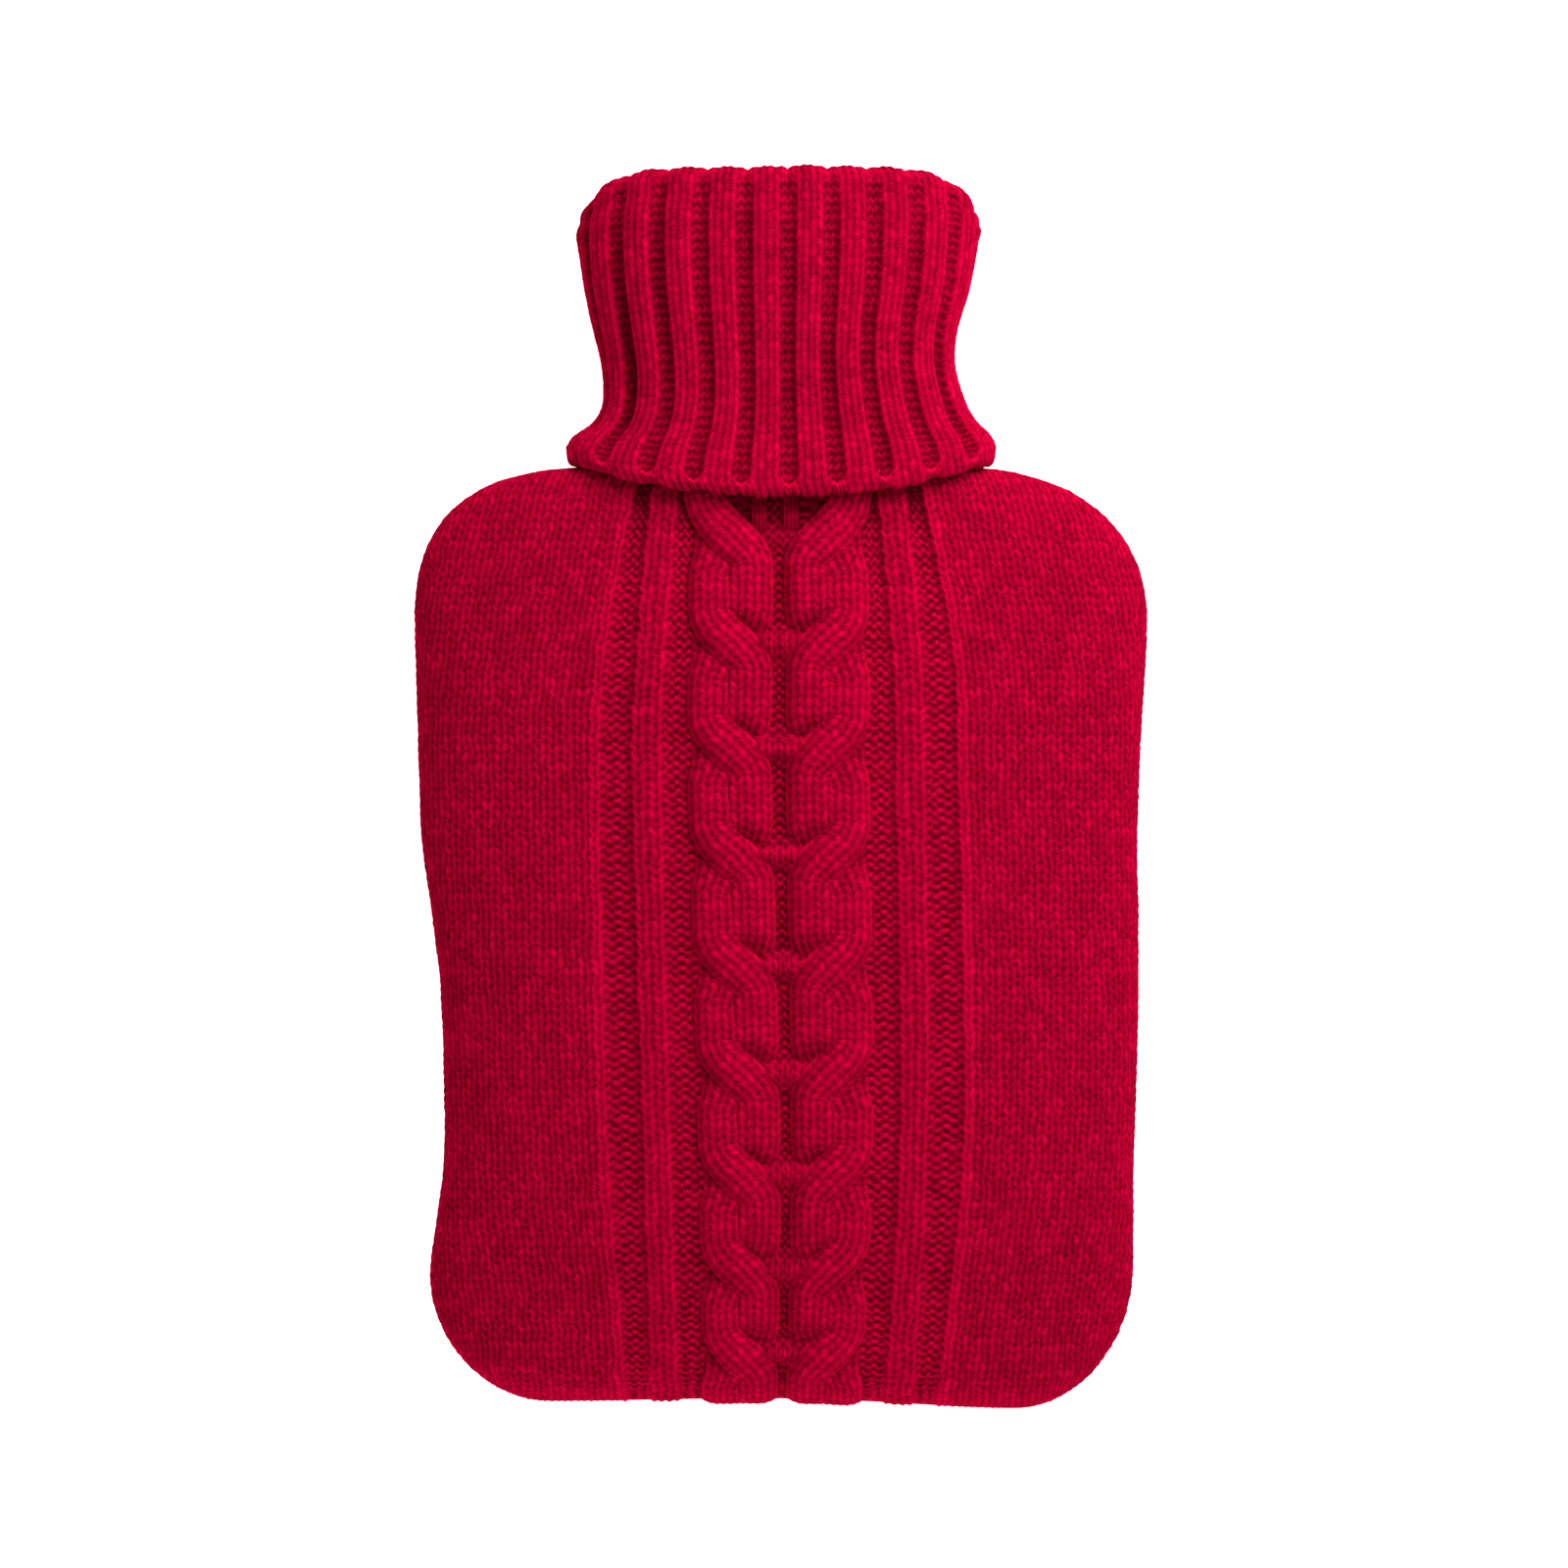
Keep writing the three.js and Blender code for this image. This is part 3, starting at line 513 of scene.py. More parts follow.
class Net:
    """A grid of points with the stitch coordinates, purl share and painted shading that its material reads.
    """

    def __init__(self, points, column, course, purl, painted_shading, closed=False, keep=None, flip=False):
        shape = points.shape[:2]
        self.points = points
        self.column = np.broadcast_to(column, (shape[0], shape[1] + closed))
        self.course = np.broadcast_to(course, shape)
        self.purl = np.broadcast_to(purl, shape)
        self.painted_shading = np.broadcast_to(painted_shading, shape)
        self.closed, self.keep, self.flip = closed, keep, flip

    def corners(self):
        """Corner numbers of each face, and the same with an unwound last column."""
        rows, lines = self.points.shape[:2]
        wide = lines + self.closed
        j, i = np.meshgrid(np.arange(rows - 1), np.arange(wide - 1), indexing="ij")
        quads = [(j, i), (j, i + 1), (j + 1, i + 1), (j + 1, i)]
        if self.flip:
            quads.reverse()
        points = np.stack([a * lines + b % lines for a, b in quads], -1)
        unwound = np.stack([a * wide + b for a, b in quads], -1)
        if self.keep is not None:
            points, unwound = points[self.keep], unwound[self.keep]
        return points.reshape(-1, 4), unwound.reshape(-1, 4)


def knitted(name, nets, material, weld=0.0):
    """One object from nets of stitches."""
    points, faces, stitch = [], [], []
    purl, painted_shading = [], []
    start = 0
    for net in nets:
        corners, unwound = net.corners()
        points.append(net.points.reshape(-1, 3))
        faces.append(corners + start)
        course = net.course
        if net.closed:
            course = np.concatenate([course, course[:, :1]], 1)
        plan = np.stack([net.column, course], -1).reshape(-1, 2)
        stitch.append(plan[unwound.ravel()])
        purl.append(net.purl.ravel())
        painted_shading.append(net.painted_shading.ravel())
        start += net.points.shape[0] * net.points.shape[1]
    faces, points = np.concatenate(faces), np.concatenate(points)
    used = np.unique(faces)
    renumber = np.zeros(len(points), int)
    renumber[used] = np.arange(len(used))
    faces, points = renumber[faces], points[used]
    mesh = bpy.data.meshes.new(name)
    mesh.vertices.add(len(points))
    mesh.vertices.foreach_set("co", points.astype(np.float32).ravel())
    mesh.loops.add(faces.size)
    mesh.loops.foreach_set("vertex_index", faces.astype(np.int32).ravel())
    mesh.polygons.add(len(faces))
    mesh.polygons.foreach_set("loop_start", np.arange(0, faces.size, 4, dtype=np.int32))
    mesh.polygons.foreach_set("use_smooth", np.ones(len(faces), bool))
    layer = mesh.uv_layers.new(name="stitch")
    layer.uv.foreach_set("vector", np.concatenate(stitch).astype(np.float32).ravel())
    for key, values in (("purl", purl), ("painted_shading", painted_shading)):
        attribute = mesh.attributes.new(key, "FLOAT", "POINT")
        attribute.data.foreach_set("value", np.concatenate(values)[used].astype(np.float32))
    mesh.update(calc_edges=True)
    mesh.validate()
    mesh.materials.append(material)
    piece = bpy.data.objects.new(name, mesh)
    bpy.context.collection.objects.link(piece)
    if weld:
        weld_points(mesh, weld)
    return piece


def weld_points(mesh, reach):
    """Joins the points that lie together where columns end on a seam."""
    work = bmesh.new()
    work.from_mesh(mesh)
    bmesh.ops.remove_doubles(work, verts=work.verts, dist=reach)
    work.to_mesh(mesh)
    work.free()
    mesh.update()


# ---- The front panel ----

# A line of the band: its strip's two borders and the share between them, its stitch column, how far it is
# purl, sunk in a groove and raised on a rib, and how much painted highlight it has.
Line = namedtuple("Line", "inner outer share column purl sunk ribbed worn")


def band_lines():
    """Lines of one half of the band from its centre outwards, and the number of its columns."""
    strips = [
        ("middle", "cable_in", 1, LINES_PER_COLUMN, True),
        ("cable_in", "under_in", 1, LINES_PER_COLUMN, True),
        ("under_in", "under_out", 1, 2, True),
        ("under_out", "cable_out", 1, LINES_PER_COLUMN, True),
        ("cable_out", "rib_in", 2, LINES_PER_COLUMN, True),
        ("rib_in", "rib_out", 2, LINES_PER_COLUMN, False),
        ("rib_out", "edge", 2, LINES_PER_COLUMN, True),
    ]
    lines, column = [], 0
    for inner, outer, columns, per_column, is_purl in strips:
        count = columns * per_column
        for i in range(count):
            share = i / count
            side = (2 * share - 1) ** 2
            if i == 0 and inner in ("rib_in", "rib_out"):
                kind = (BORDER_PURL, BORDER_SUNK, 0.0, 0.0)
            elif is_purl:
                kind = (1.0, 1.0, 0.0, 0.0)
            else:
                # a raised rib, with painted highlight on its outer legs
                kind = (0.0, 0.0, 1 - RIB_ROUNDING * side, side * LINE_LIGHT)
            lines.append(Line(inner, outer, share, column + i / per_column, *kind))
        column += columns
    return lines, column


def front_lines():
    """The band's lines, the plain columns outside them, and the values of all of them together."""
    band, columns = band_lines()
    plain = np.arange(PLAIN_COLUMNS * LINES_PER_COLUMN + 1) / LINES_PER_COLUMN
    outside = {
        "column": columns + plain,
        "purl": np.where(plain == 0, BORDER_PURL, 0.0),
        "sunk": np.where(plain == 0, BORDER_SUNK, 0.0),
        "ribbed": np.zeros(len(plain)),
        # painted highlight on the first plain column beside a groove
        "worn": ((plain > 0) & (plain < 1)) * LIP_LIGHT,
    }
    values = {name: np.r_[[getattr(line, name) for line in band], outside[name]] for name in outside}
    values["lip"] = np.r_[np.zeros(len(band)), np.where(plain > 0, np.exp(-LIP_FALL * plain), 0)]
    return band, plain, values


def band_at(name, along):
    """How far out a border of the band lies. The strip under each cable has two borders of its own."""
    if name == "middle":
        return np.zeros_like(along)
    if name == "under_in":
        return column_at(BAND, "cable_in", along) + UNDER_STRIP
    if name == "under_out":
        return column_at(BAND, "cable_out", along) - UNDER_STRIP
    return column_at(BAND, name, along)


def front_places(face, runs, band, plain, sizes, sign):
    """x of each line in each row, and how much cloth is left between it and the side seam."""
    along = face.place(runs)
    centre = column_at(BAND, "centre", along)
    band_x = [
        centre + sign * blend(band_at(line.inner, along), band_at(line.outer, along), line.share)
        for line in band
    ]
    edge = centre + sign * column_at(BAND, "edge", along)
    plain_x, left = face.across_by_length(runs, edge, plain * sizes.column, sign)
    x = np.concatenate([np.array(band_x).T, plain_x], 1)
    return x, np.concatenate([np.full((len(runs), len(band)), 1.0), left], 1)


def front_shades(along, line, fade, bridge, throat):
    """Painted shade of each point of the front. Below 0 it is painted highlight."""
    slot = np.where(line["column"] < SLOT_COLUMNS, SLOT_SHADE, GROOVE_SHADE)
    near_hem = smooth_step(HEM_Y - HEM_SHADE_REACH, HEM_Y, along)[:, None]
    slot = slot + HEM_SHADE * near_hem * (line["column"] >= CABLE_COLUMNS)
    return line["sunk"] * slot * fade * (1 - bridge) + THROAT_SHADE * throat - line["worn"]


def front_half(face, sizes, sign):
    """Net of one half of the front panel."""
    courses = int(round(face.length / sizes.course))
    runs = np.linspace(0, face.length, courses * LINES_PER_COURSE + 1)
    along, course, seed = face.place(runs), runs[:, None] / sizes.course, FRONT_SEED + (sign > 0)
    band, plain, line = front_lines()
    column = line["column"]
    x, left = front_places(face, runs, band, plain, sizes, sign)
    bridge = bridges(face, runs)[:, None] * (column < SLOT_COLUMNS)
    throat = smooth_step(THROAT_Y - THROAT_FADE, THROAT_Y, along)[:, None] * (column < CABLE_COLUMNS)
    fade = smooth_step(0, RELIEF_FADE, runs)[:, None] * smooth_step(0, SEAM_FADE, left)
    depth = blend(GROOVE_DEPTH, SLOT_DEPTH, smooth_step(SHOULDER_START_Y, SLOT_FULL_Y, along))[:, None]
    form = line["ribbed"] * RIB_HEIGHT + line["lip"] * LIP_HEIGHT - line["sunk"] * depth
    form = form + bridge * BRIDGE_HEIGHT - throat * THROAT_DEPTH
    stitches = stitch_relief(column, course, line["purl"], sizes, seed)
    stitches = stitches * (1 - RAISED_CALM * np.maximum(bridge, throat))
    aside, up = loose(column, course, seed)
    x = x + sign * column_wander(column, course, sizes, left, aside)
    points, square = face.surface(x, np.broadcast_to(runs[:, None], x.shape))
    points = points + square * ((form + stitches) * fade)[..., None]
    points = leaning(points, lean(column, sizes) + up * LINES_PER_COURSE)
    painted_shading = front_shades(along, line, fade, bridge, throat)
    return Net(
        points, column, course, line["purl"] * (1 - bridge), painted_shading, keep=inside(left), flip=sign < 0
    )


def inside(left):
    """Which cells of a grid lie within the side seam, where left gives the cloth up to it."""
    return ~((left[:-1, :-1] <= 0) & (left[1:, :-1] <= 0))


def bridges(face, runs):
    """Where the cloth between the two cables is pulled up, 0 to 1: just above each crossing."""
    share = np.zeros_like(runs)
    for number, place in enumerate(CROSSINGS):
        above = (runs - face.run(place) - BRIDGE_ABOVE) / BRIDGE_REACH
        strength = FIRST_BRIDGE if number == 0 else 1.0
        share = np.maximum(share, strength * smooth_step(0, 1, 1 - np.abs(above)))
    return share


def lean(column, sizes):
    """Rows of the grid by which each line of a stitch is moved up: most between columns."""
    return sizes.slant * LINES_PER_COURSE * np.cos(2 * math.pi * column)[None, :]


def stitch_relief(column, course, purl, sizes, seed, look=BODY_LOOK):
    """Heights of the stitches themselves, each a little unlike the next and flatter where the wool
    is more felted."""
    columns, courses = int(round(column.max())) + 1, int(course.max()) + 2
    felted = Wander(WANDER_SEED + seed, *FELTED)(column[None, :] * COLUMN_SHAPE, course)
    scattered = Scatter(seed, columns, courses)(column[None, :], course)
    uneven = 1 + RELIEF_SCATTER * sizes.unevenness * scattered
    uneven = uneven * (RELIEF_KEPT - FELTED_LOSS * felted)
    knit = knit_height(column, course, look) * sizes.knit_height
    bumps = purl_height(column, course, sizes.slant, look) * sizes.purl_height
    chance = np.random.default_rng(WANDER_SEED * 100 + seed)
    fuzz = chance.normal(0, sizes.fuzz, (len(course), len(column)))
    return blend(knit, bumps, purl) * uneven + fuzz


def loose(column, course, seed):
    """How far each leg is pushed aside and up, as shares of a column and of a course."""
    columns, courses = int(round(column.max())) + 1, int(course.max()) + 2
    aside = Scatter(seed + ASIDE_SEED, columns, courses)(column[None, :], course)
    up = Scatter(seed + UP_SEED, columns, courses)(column[None, :], course)
    return PUSHED_ASIDE * aside, PUSHED_UP * up


def column_wander(column, course, sizes, left, aside):
    """Sideways wander of the columns, on top of each leg's own push aside."""
    slow = Wander(WANDER_SEED, *SLOW_WANDER)(column[None, :] * COLUMN_SHAPE, course)
    quick = Wander(WANDER_SEED + 1, *QUICK_WANDER)(column[None, :], course)
    tilt = LEG_TILT * np.sin(2 * math.pi * course) * np.sin(2 * math.pi * column)[None, :]
    amount = sizes.column * (SLOW_WANDER_SHARE * slow + QUICK_WANDER_SHARE * quick + aside + tilt)
    return amount * smooth_step(0, 2 * sizes.column, left) * (column[None, :] > 0)


# ---- The cables ----


def strand_share(crossing, runs, places):
    """Where a strand's middle lies across the cable, from 0 at the cable's outer side, for the strand
    that goes over at this crossing."""
    outer, inner = STRAND_SIDES

    def crossed(number):
        return smooth_step(-CROSSING_START, CROSSING_END, places[number] - runs)

    share = crossed(crossing) if crossing < len(places) else np.zeros_like(runs)
    if crossing + 1 < len(places):
        share = share - DIVE_TURN * crossed(crossing + 1)
    middle = outer + (inner - outer) * share
    if crossing == 0:
        middle = middle - NECK_SPREAD * smooth_step(*NECK_SPREAD_REACH, runs - places[0])
    return middle


def strand_path(face, sizes, crossing, places):
    """Steps along a strand's middle, with the run over the cloth and the distance out at each, the
    cable's width there and the width that is tucked under the strand before."""
    top = face.run(CABLE_TOP_Y) if crossing == 0 else places[crossing - 1] - EMERGE[0]
    bottom = 0.0 if crossing + 1 >= len(places) else places[crossing + 1] + DIVE[1] - DIVE_TAIL
    runs = np.linspace(top, bottom, PATH_STEPS)
    along = face.place(runs)
    inner, outer = column_at(BAND, "cable_in", along), column_at(BAND, "cable_out", along)
    share = strand_share(crossing, runs, places)
    out = outer + STRAND_SPREAD / 4 - share * (outer - inner + STRAND_SPREAD)
    tucked = np.zeros_like(runs)
    if crossing > 0:
        above = runs - places[crossing - 1]
        tucked = TUCK_WIDTH * smooth_step(-TUCK_REACH, 0, above)
        out = out - tucked / 2 - CORNER_DRAW * smooth_step(-CORNER_REACH, 0, above)
    path = np.r_[0, np.cumsum(np.hypot(np.diff(out), np.diff(runs)))]
    courses = max(int(round(path[-1] / sizes.course)), 2)
    steps = np.linspace(0, path[-1], courses * LINES_PER_COURSE + 1)
    values = {"run": runs, "out": out, "width": outer - inner, "tucked": tucked}
    return steps, {name: np.interp(steps, path, value) for name, value in values.items()}


def strand_falls(run, crossing, places):
    """How near each step of a strand is to the middle of its crossing, how far it has sunk under its
    neighbours, and the shares of its height that it loses at its outer and at its inner edge."""
    near, sunk, inner = np.zeros_like(run), np.zeros_like(run), np.full_like(run, VALLEY)
    outer = np.full_like(run, CREASE)
    if crossing < len(places):
        below = places[crossing] - run
        middle = (CROSSING_START - CROSSING_END) / 2
        near = smooth_step(0, 1, 1 - np.abs(below + middle) / (CROSSING_START * NEAR_REACH))
        after = smooth_step(-CROSSING_START, CROSSING_END, below)
        inner = VALLEY + (1 - VALLEY) * np.maximum(near, after)
        outer = CREASE - (CREASE - VALLEY) * smooth_step(*LATE, below)
        outer = np.maximum(outer, smooth_step(CREASE_START, CREASE_END, -below))
    if crossing + 1 < len(places):
        sunk = smooth_step(-DIVE[0], -DIVE[1], places[crossing + 1] - run)
    if crossing > 0:
        sunk = np.maximum(sunk, 1 - smooth_step(*EMERGE, places[crossing - 1] - run))
    return near, sunk, outer, inner


def strand_section(crown, half, swell, falls, spread):
    """Offset across and height of a strand's lines at each of its steps, spread evenly over its
    rounded section. It swells to its outer side only."""
    across = np.sin(np.linspace(-math.pi / 2, math.pi / 2, SECTION_STEPS))
    dome = np.sqrt(1 - np.abs(across) ** STRAND_ROUNDNESS)
    outer, inner = falls
    fall = np.where(across[None, :] < 0, outer[:, None], inner[:, None])
    height = crown[:, None] - fall * (crown + STRAND_SINK)[:, None] * (1 - dome[None, :])
    sideways = across[None, :] * (half + swell / 2)[:, None] - swell[:, None] / 2
    lengths = np.hypot(np.diff(sideways, axis=1), SECTION_SLOPE * np.diff(height, axis=1))
    lengths = np.concatenate([np.zeros((len(crown), 1)), np.cumsum(lengths, 1)], 1)
    offset, lift = np.empty((len(crown), len(spread))), np.empty((len(crown), len(spread)))
    for row in range(len(crown)):
        want = spread * lengths[row, -1]
        offset[row] = np.interp(want, lengths[row], sideways[row])
        lift[row] = np.interp(want, lengths[row], height[row])
    return offset, lift


def strand_points(face, steps, at, offset, lift, sign):
    """A strand's smooth surface on the bag, what is left of its height near the bottom seam, and the
    directions that stand square on it."""
    turn_out, turn_run = np.gradient(at["out"], steps), np.gradient(at["run"], steps)
    size = np.hypot(turn_out, turn_run)
    out = at["out"][:, None] + (turn_run / size)[:, None] * offset
    run = np.clip(at["run"][:, None] - (turn_out / size)[:, None] * offset, 0, face.length)
    centre = column_at(BAND, "centre", face.place(run))
    base, square = face.surface(centre + sign * out, run)
    fade = smooth_step(0, CABLE_FADE, run)
    solid = base + square * (lift * fade)[..., None]
    outward = square_to(solid)
    inwards = (outward * square).sum(-1, keepdims=True) < 0
    return solid, fade, np.where(inwards, -outward, outward)


def strand_net(face, sizes, crossing, sign):
    """Net of one strand of a cable, from where it comes out to where it goes under."""
    places = [face.run(place) for place in CROSSINGS]
    steps, at = strand_path(face, sizes, crossing, places)
    near, sunk, outer, inner = strand_falls(at["run"], crossing, places)
    crown = STRAND_HEIGHT + OVER_STRAND_LIFT * near - sunk * (STRAND_HEIGHT + SUNK_BELOW)
    half = (at["width"] + STRAND_SPREAD) / 4 * STRAND_OVERLAP + at["tucked"] / 2
    spread = np.linspace(0, 1, STRAND_COLUMNS * LINES_PER_COLUMN + 1)
    offset, lift = strand_section(crown, half, 2 * half * STRAND_SWELL * near, (outer, inner), spread)
    if crossing > 0:
        early = 1 - smooth_step(*EMERGE_TILT_REACH, places[crossing - 1] - at["run"])
        lift = lift - EMERGE_TILT * early[:, None] * smooth_step(*EMERGE_TILT_SHARE, spread)[None, :]
    solid, fade, outward = strand_points(face, steps, at, offset, lift, sign)
    course, column = steps[:, None] / sizes.course, spread * STRAND_COLUMNS
    seed = STRAND_SEED + crossing * 2 + (sign > 0)
    up = loose(column, course, seed)[1]
    edge = np.minimum(column, STRAND_COLUMNS - column)[None, :]
    bumps = STRAND_STITCHES * stitch_relief(column, course, np.zeros(len(column)), sizes, seed)
    bumps = bumps * smooth_step(0, STRAND_EDGE_FADE[1], edge + STRAND_EDGE_FADE[0]) * fade
    points = leaning(solid + outward * bumps[..., None], up * LINES_PER_COURSE - lean(column, sizes))
    # Painted highlight on the raised crown and outer legs, and painted shade where the strand goes under and
    # low on its free edges.
    free = np.where(spread[None, :] < 0.5, outer[:, None], inner[:, None])
    outer_leg = np.exp(-(((edge - STRAND_LEG) / STRAND_LEG_WIDTH) ** 2))
    worn = CROWN_LIGHT + EDGE_LIGHT * free * outer_leg
    painted_shading = SUNK_SHADE * sunk[:, None] + EDGE_SHADE * smooth_step(EDGE_SHADE_TOP, -STRAND_SINK, lift)
    painted_shading = painted_shading - worn
    return Net(points, column, -course, 0.0, painted_shading, flip=sign < 0)


def neck_rib_nets(face, sizes):
    """Short ribs of the inner neck that show between the cables, under the hem."""
    nets = []
    rows = NECK_RIB_COURSES * LINES_PER_COURSE + 1
    for number, middle in enumerate(NECK_RIB_PLACES):
        runs = np.linspace(face.run(NECK_RIB_TOP), face.run(NECK_RIB_END), rows)
        share = np.linspace(-1, 1, 2 * LINES_PER_COLUMN + 1)[None, :] + 0 * runs[:, None]
        lift = NECK_RIB_HEIGHT * np.sqrt(1 - np.abs(share) ** NECK_RIB_ROUNDNESS) - NECK_RIB_SINK
        ending = smooth_step(NECK_RIB_END + NECK_RIB_TAPER, NECK_RIB_END, face.place(runs))
        lift = lift - NECK_RIB_SINK * ending[:, None]
        x = middle + share * NECK_RIB_HALF_WIDTH
        base, square = face.surface(x, np.broadcast_to(runs[:, None], x.shape))
        column, course = share[0] + 1, (runs[0] - runs[:, None]) / sizes.course
        bumps = stitch_relief(column, course, np.zeros(len(column)), sizes, NECK_RIB_SEED + number)
        points = leaning(base + square * (lift + bumps)[..., None], -lean(column, sizes))
        nets.append(Net(points, column, -course, 0.0, NECK_RIB_SHADE, flip=True))
    return nets


# ---- The back panel ----


def back_half(face, sizes, sign):
    """Net of one half of the back, in plain knitting."""
    courses, seed = int(round(face.length / sizes.course)), BACK_SEED + (sign > 0)
    runs = np.linspace(0, face.length, courses * BACK_LINES_PER_COURSE + 1)
    column = np.arange(BACK_COLUMNS * LINES_PER_COLUMN + 1) / LINES_PER_COLUMN
    x, left = face.across_by_length(runs, np.zeros_like(runs), column * sizes.column, sign)
    course = runs[:, None] / sizes.course
    fade = smooth_step(0, RELIEF_FADE, runs)[:, None] * smooth_step(0, SEAM_FADE, left)
    bumps = stitch_relief(column, course, np.zeros(len(column)), sizes, seed)
    aside, up = loose(column, course, seed)
    x = x + sign * column_wander(column, course, sizes, left, aside)
    points, square = face.surface(x, np.broadcast_to(runs[:, None], x.shape))
    points = points + square * ((bumps - sizes.knit_height) * fade)[..., None]
    shift = lean(column, sizes) * BACK_LINES_PER_COURSE / LINES_PER_COURSE + up * BACK_LINES_PER_COURSE
    points = leaning(points, shift)
    points[..., 2] = np.maximum(points[..., 2], 0)
    return Net(points, column, course, 0.0, 0.0, keep=inside(left), flip=sign > 0)


# ---- The roll neck ----

# Place along the neck, distance in from the outer face, share of the foot, and the shares that the
# stitches and the ribs have of their full height.
Station = namedtuple("Station", "along inset foot stitches ribs")

# Share of the way round, stitch column, how far the line is purl, its height from -1 in a groove to 1 on
# a rib, how much painted highlight it has, and how far up its end at the hem is bent.
RollLine = namedtuple("RollLine", "turn column purl form worn bend")


def roll_lift(along, side_share, back_share):
    """How far a point of the roll lies above its place at the front centre."""
    hem = 1 - smooth_step(HEM_Y, HEM_Y + HEM_RISE_REACH, along)
    fold = smooth_step(FOLD_Y - FOLD_DROP_REACH, FOLD_Y, along)
    drop = FOLD_SIDE_DROP * side_share**FOLD_CURVE + FOLD_BACK_DROP * back_share
    return HEM_SIDE_RISE * side_share**HEM_CURVE * hem - drop * fold


def oval_at(sized_at, inset, foot):
    """Half widths, heights and squareness of the neck's oval, drawn in by inset. foot goes from 0 on
    the roll to 1 where it grows out of the panels."""
    roll = {
        "right": column_at(ROLL, "right", sized_at),
        "left": -column_at(ROLL, "left", sized_at),
        "front": column_at(ROLL, "front", sized_at),
        "back": column_at(ROLL, "back", sized_at),
    }
    root = {"right": NECK_HALF_WIDTH, "left": NECK_HALF_WIDTH, "front": NECK_RISE, "back": NECK_DROP}
    oval = {name: blend(roll[name] - inset, root[name] - FOOT_INSET, foot) for name in roll}
    oval["power"] = blend(column_at(ROLL, "power", sized_at), NECK_SQUARENESS, foot)
    return oval


def oval_points(oval, turns):
    """Points at shares of the way round an oval, from its front centre towards +X."""
    angle = np.linspace(0, math.pi, OVAL_STEPS + 1)
    reach = 2 / oval["power"]
    wide = np.abs(np.sin(angle)) ** reach
    tall = np.abs(np.cos(angle)) ** reach * np.where(np.cos(angle) >= 0, oval["front"], -oval["back"])
    found = np.empty((len(turns), 2))
    for side, part in (("right", turns < 0.5), ("left", turns >= 0.5)):
        half = oval[side] * wide
        path = np.r_[0, np.cumsum(np.hypot(np.diff(half), np.diff(tall)))]
        share = turns[part] * 2 if side == "right" else 2 - turns[part] * 2
        want = share * path[-1]
        sign = 1 if side == "right" else -1
        found[part, 0] = sign * np.interp(want, path, half)
        found[part, 1] = np.interp(want, path, tall)
    return found


def roll_profile(sizes):
    """Stations of the roll, from its foot up the inside, over the fold, down the outside, round the hem
    and back up between the layers, as columns named by Station."""
    cloth, inner = sizes.cloth, BORE_RELIEF / ROLL_RELIEF
    bore, hem_round = 2 * cloth + LAYER_SPACE, cloth / 2
    step = sizes.course / LINES_PER_COURSE
    low, high = NECK_LINE_Y + SEWN_GAP, FOLD_Y - FOLD_DEPTH
    stations = []
    for along in np.arange(low, high, sizes.course / 2):
        foot = 1 - smooth_step(low, FOOT_TOP_Y, along)
        stations.append((along, bore, foot, INNER_CALM, inner))
    turn_steps = int(round(math.pi * (FOLD_DEPTH + bore / 2) / 2 / step))
    for turn in np.linspace(0, math.pi, turn_steps + 1)[1:-1]:
        along = high + (FOLD_DEPTH - FOLD_SINK) * math.sin(turn)
        inset = bore * (1 + math.cos(turn)) / 2
        stations.append((along, inset, 0, 1.0, blend(inner, 1.0, turn / math.pi)))
    for along in np.arange(high, HEM_Y + hem_round, -step):
        stations.append((along, 0, 0, 1.0, 1.0))
    for turn in np.linspace(0, math.pi, HEM_STEPS)[1:]:
        along = HEM_Y + hem_round - hem_round * math.sin(turn)
        inset = hem_round * (1 - math.cos(turn))
        stations.append((along, inset, 0, HEM_CALM * max(0, math.cos(turn / 2)), 0))
    for along in np.linspace(HEM_Y + hem_round, LINING_TOP_Y, LINING_STEPS)[1:]:
        stations.append((along, cloth, 0, 0, 0))
    for along in np.linspace(LINING_TOP_Y, LINING_END_Y, LINING_END_STEPS):
        stations.append((along, cloth + LAYER_SPACE, 0, 0, 0))
    return Station(*np.array(stations).T)


def roll_lines():
    """The mesh's lines round the neck, as columns named by RollLine."""
    lines, count = [], REPEAT_COLUMNS * LINES_PER_COLUMN // 2
    for repeat in range(ROLL_REPEATS):
        middle = repeat + ROLL_PHASE
        for i in range(count):
            share, column = i / count, repeat * REPEAT_COLUMNS + i / LINES_PER_COLUMN
            kind = (BORDER_PURL, BORDER_FORM) if i == 0 else (ROLL_PURL, -1.0)
            turn = middle - GROOVE_SHARE / 2 + GROOVE_SHARE * share
            lines.append((turn, column, *kind, 0.0, (2 * share - 1) ** 2))
        for i in range(count):
            share, column = i / count, (repeat + 0.5) * REPEAT_COLUMNS + i / LINES_PER_COLUMN
            form = RIB_SIDE + RIB_SWELL * math.sqrt(1 - abs(2 * share - 1) ** RIB_FLATNESS)
            kind = (BORDER_PURL, form, 0.0) if i == 0 else (0.0, form, (2 * share - 1) ** 2)
            turn = middle + GROOVE_SHARE / 2 + (1 - GROOVE_SHARE) * share
            lines.append((turn, column, *kind, 1.0))
    lines = RollLine(*np.array(lines).T)
    return lines._replace(turn=lines.turn / ROLL_REPEATS)


def roll_creases(turn, along):
    """How deep the roll is pinched where it bends in at the waist, 0 to 1."""
    share = np.zeros(np.broadcast_shapes(turn.shape, along.shape))
    for groove, low, high, depth in ROLL_CREASES:
        away = turn * ROLL_REPEATS - ROLL_PHASE - groove
        away = away - ROLL_REPEATS * np.round(away / ROLL_REPEATS)
        beyond = (along - (low + high) / 2) / ((high - low) / 2)
        share = share + depth * np.exp(-((away / PINCH_WIDTH) ** 2) - np.abs(beyond) ** 3)
    return share


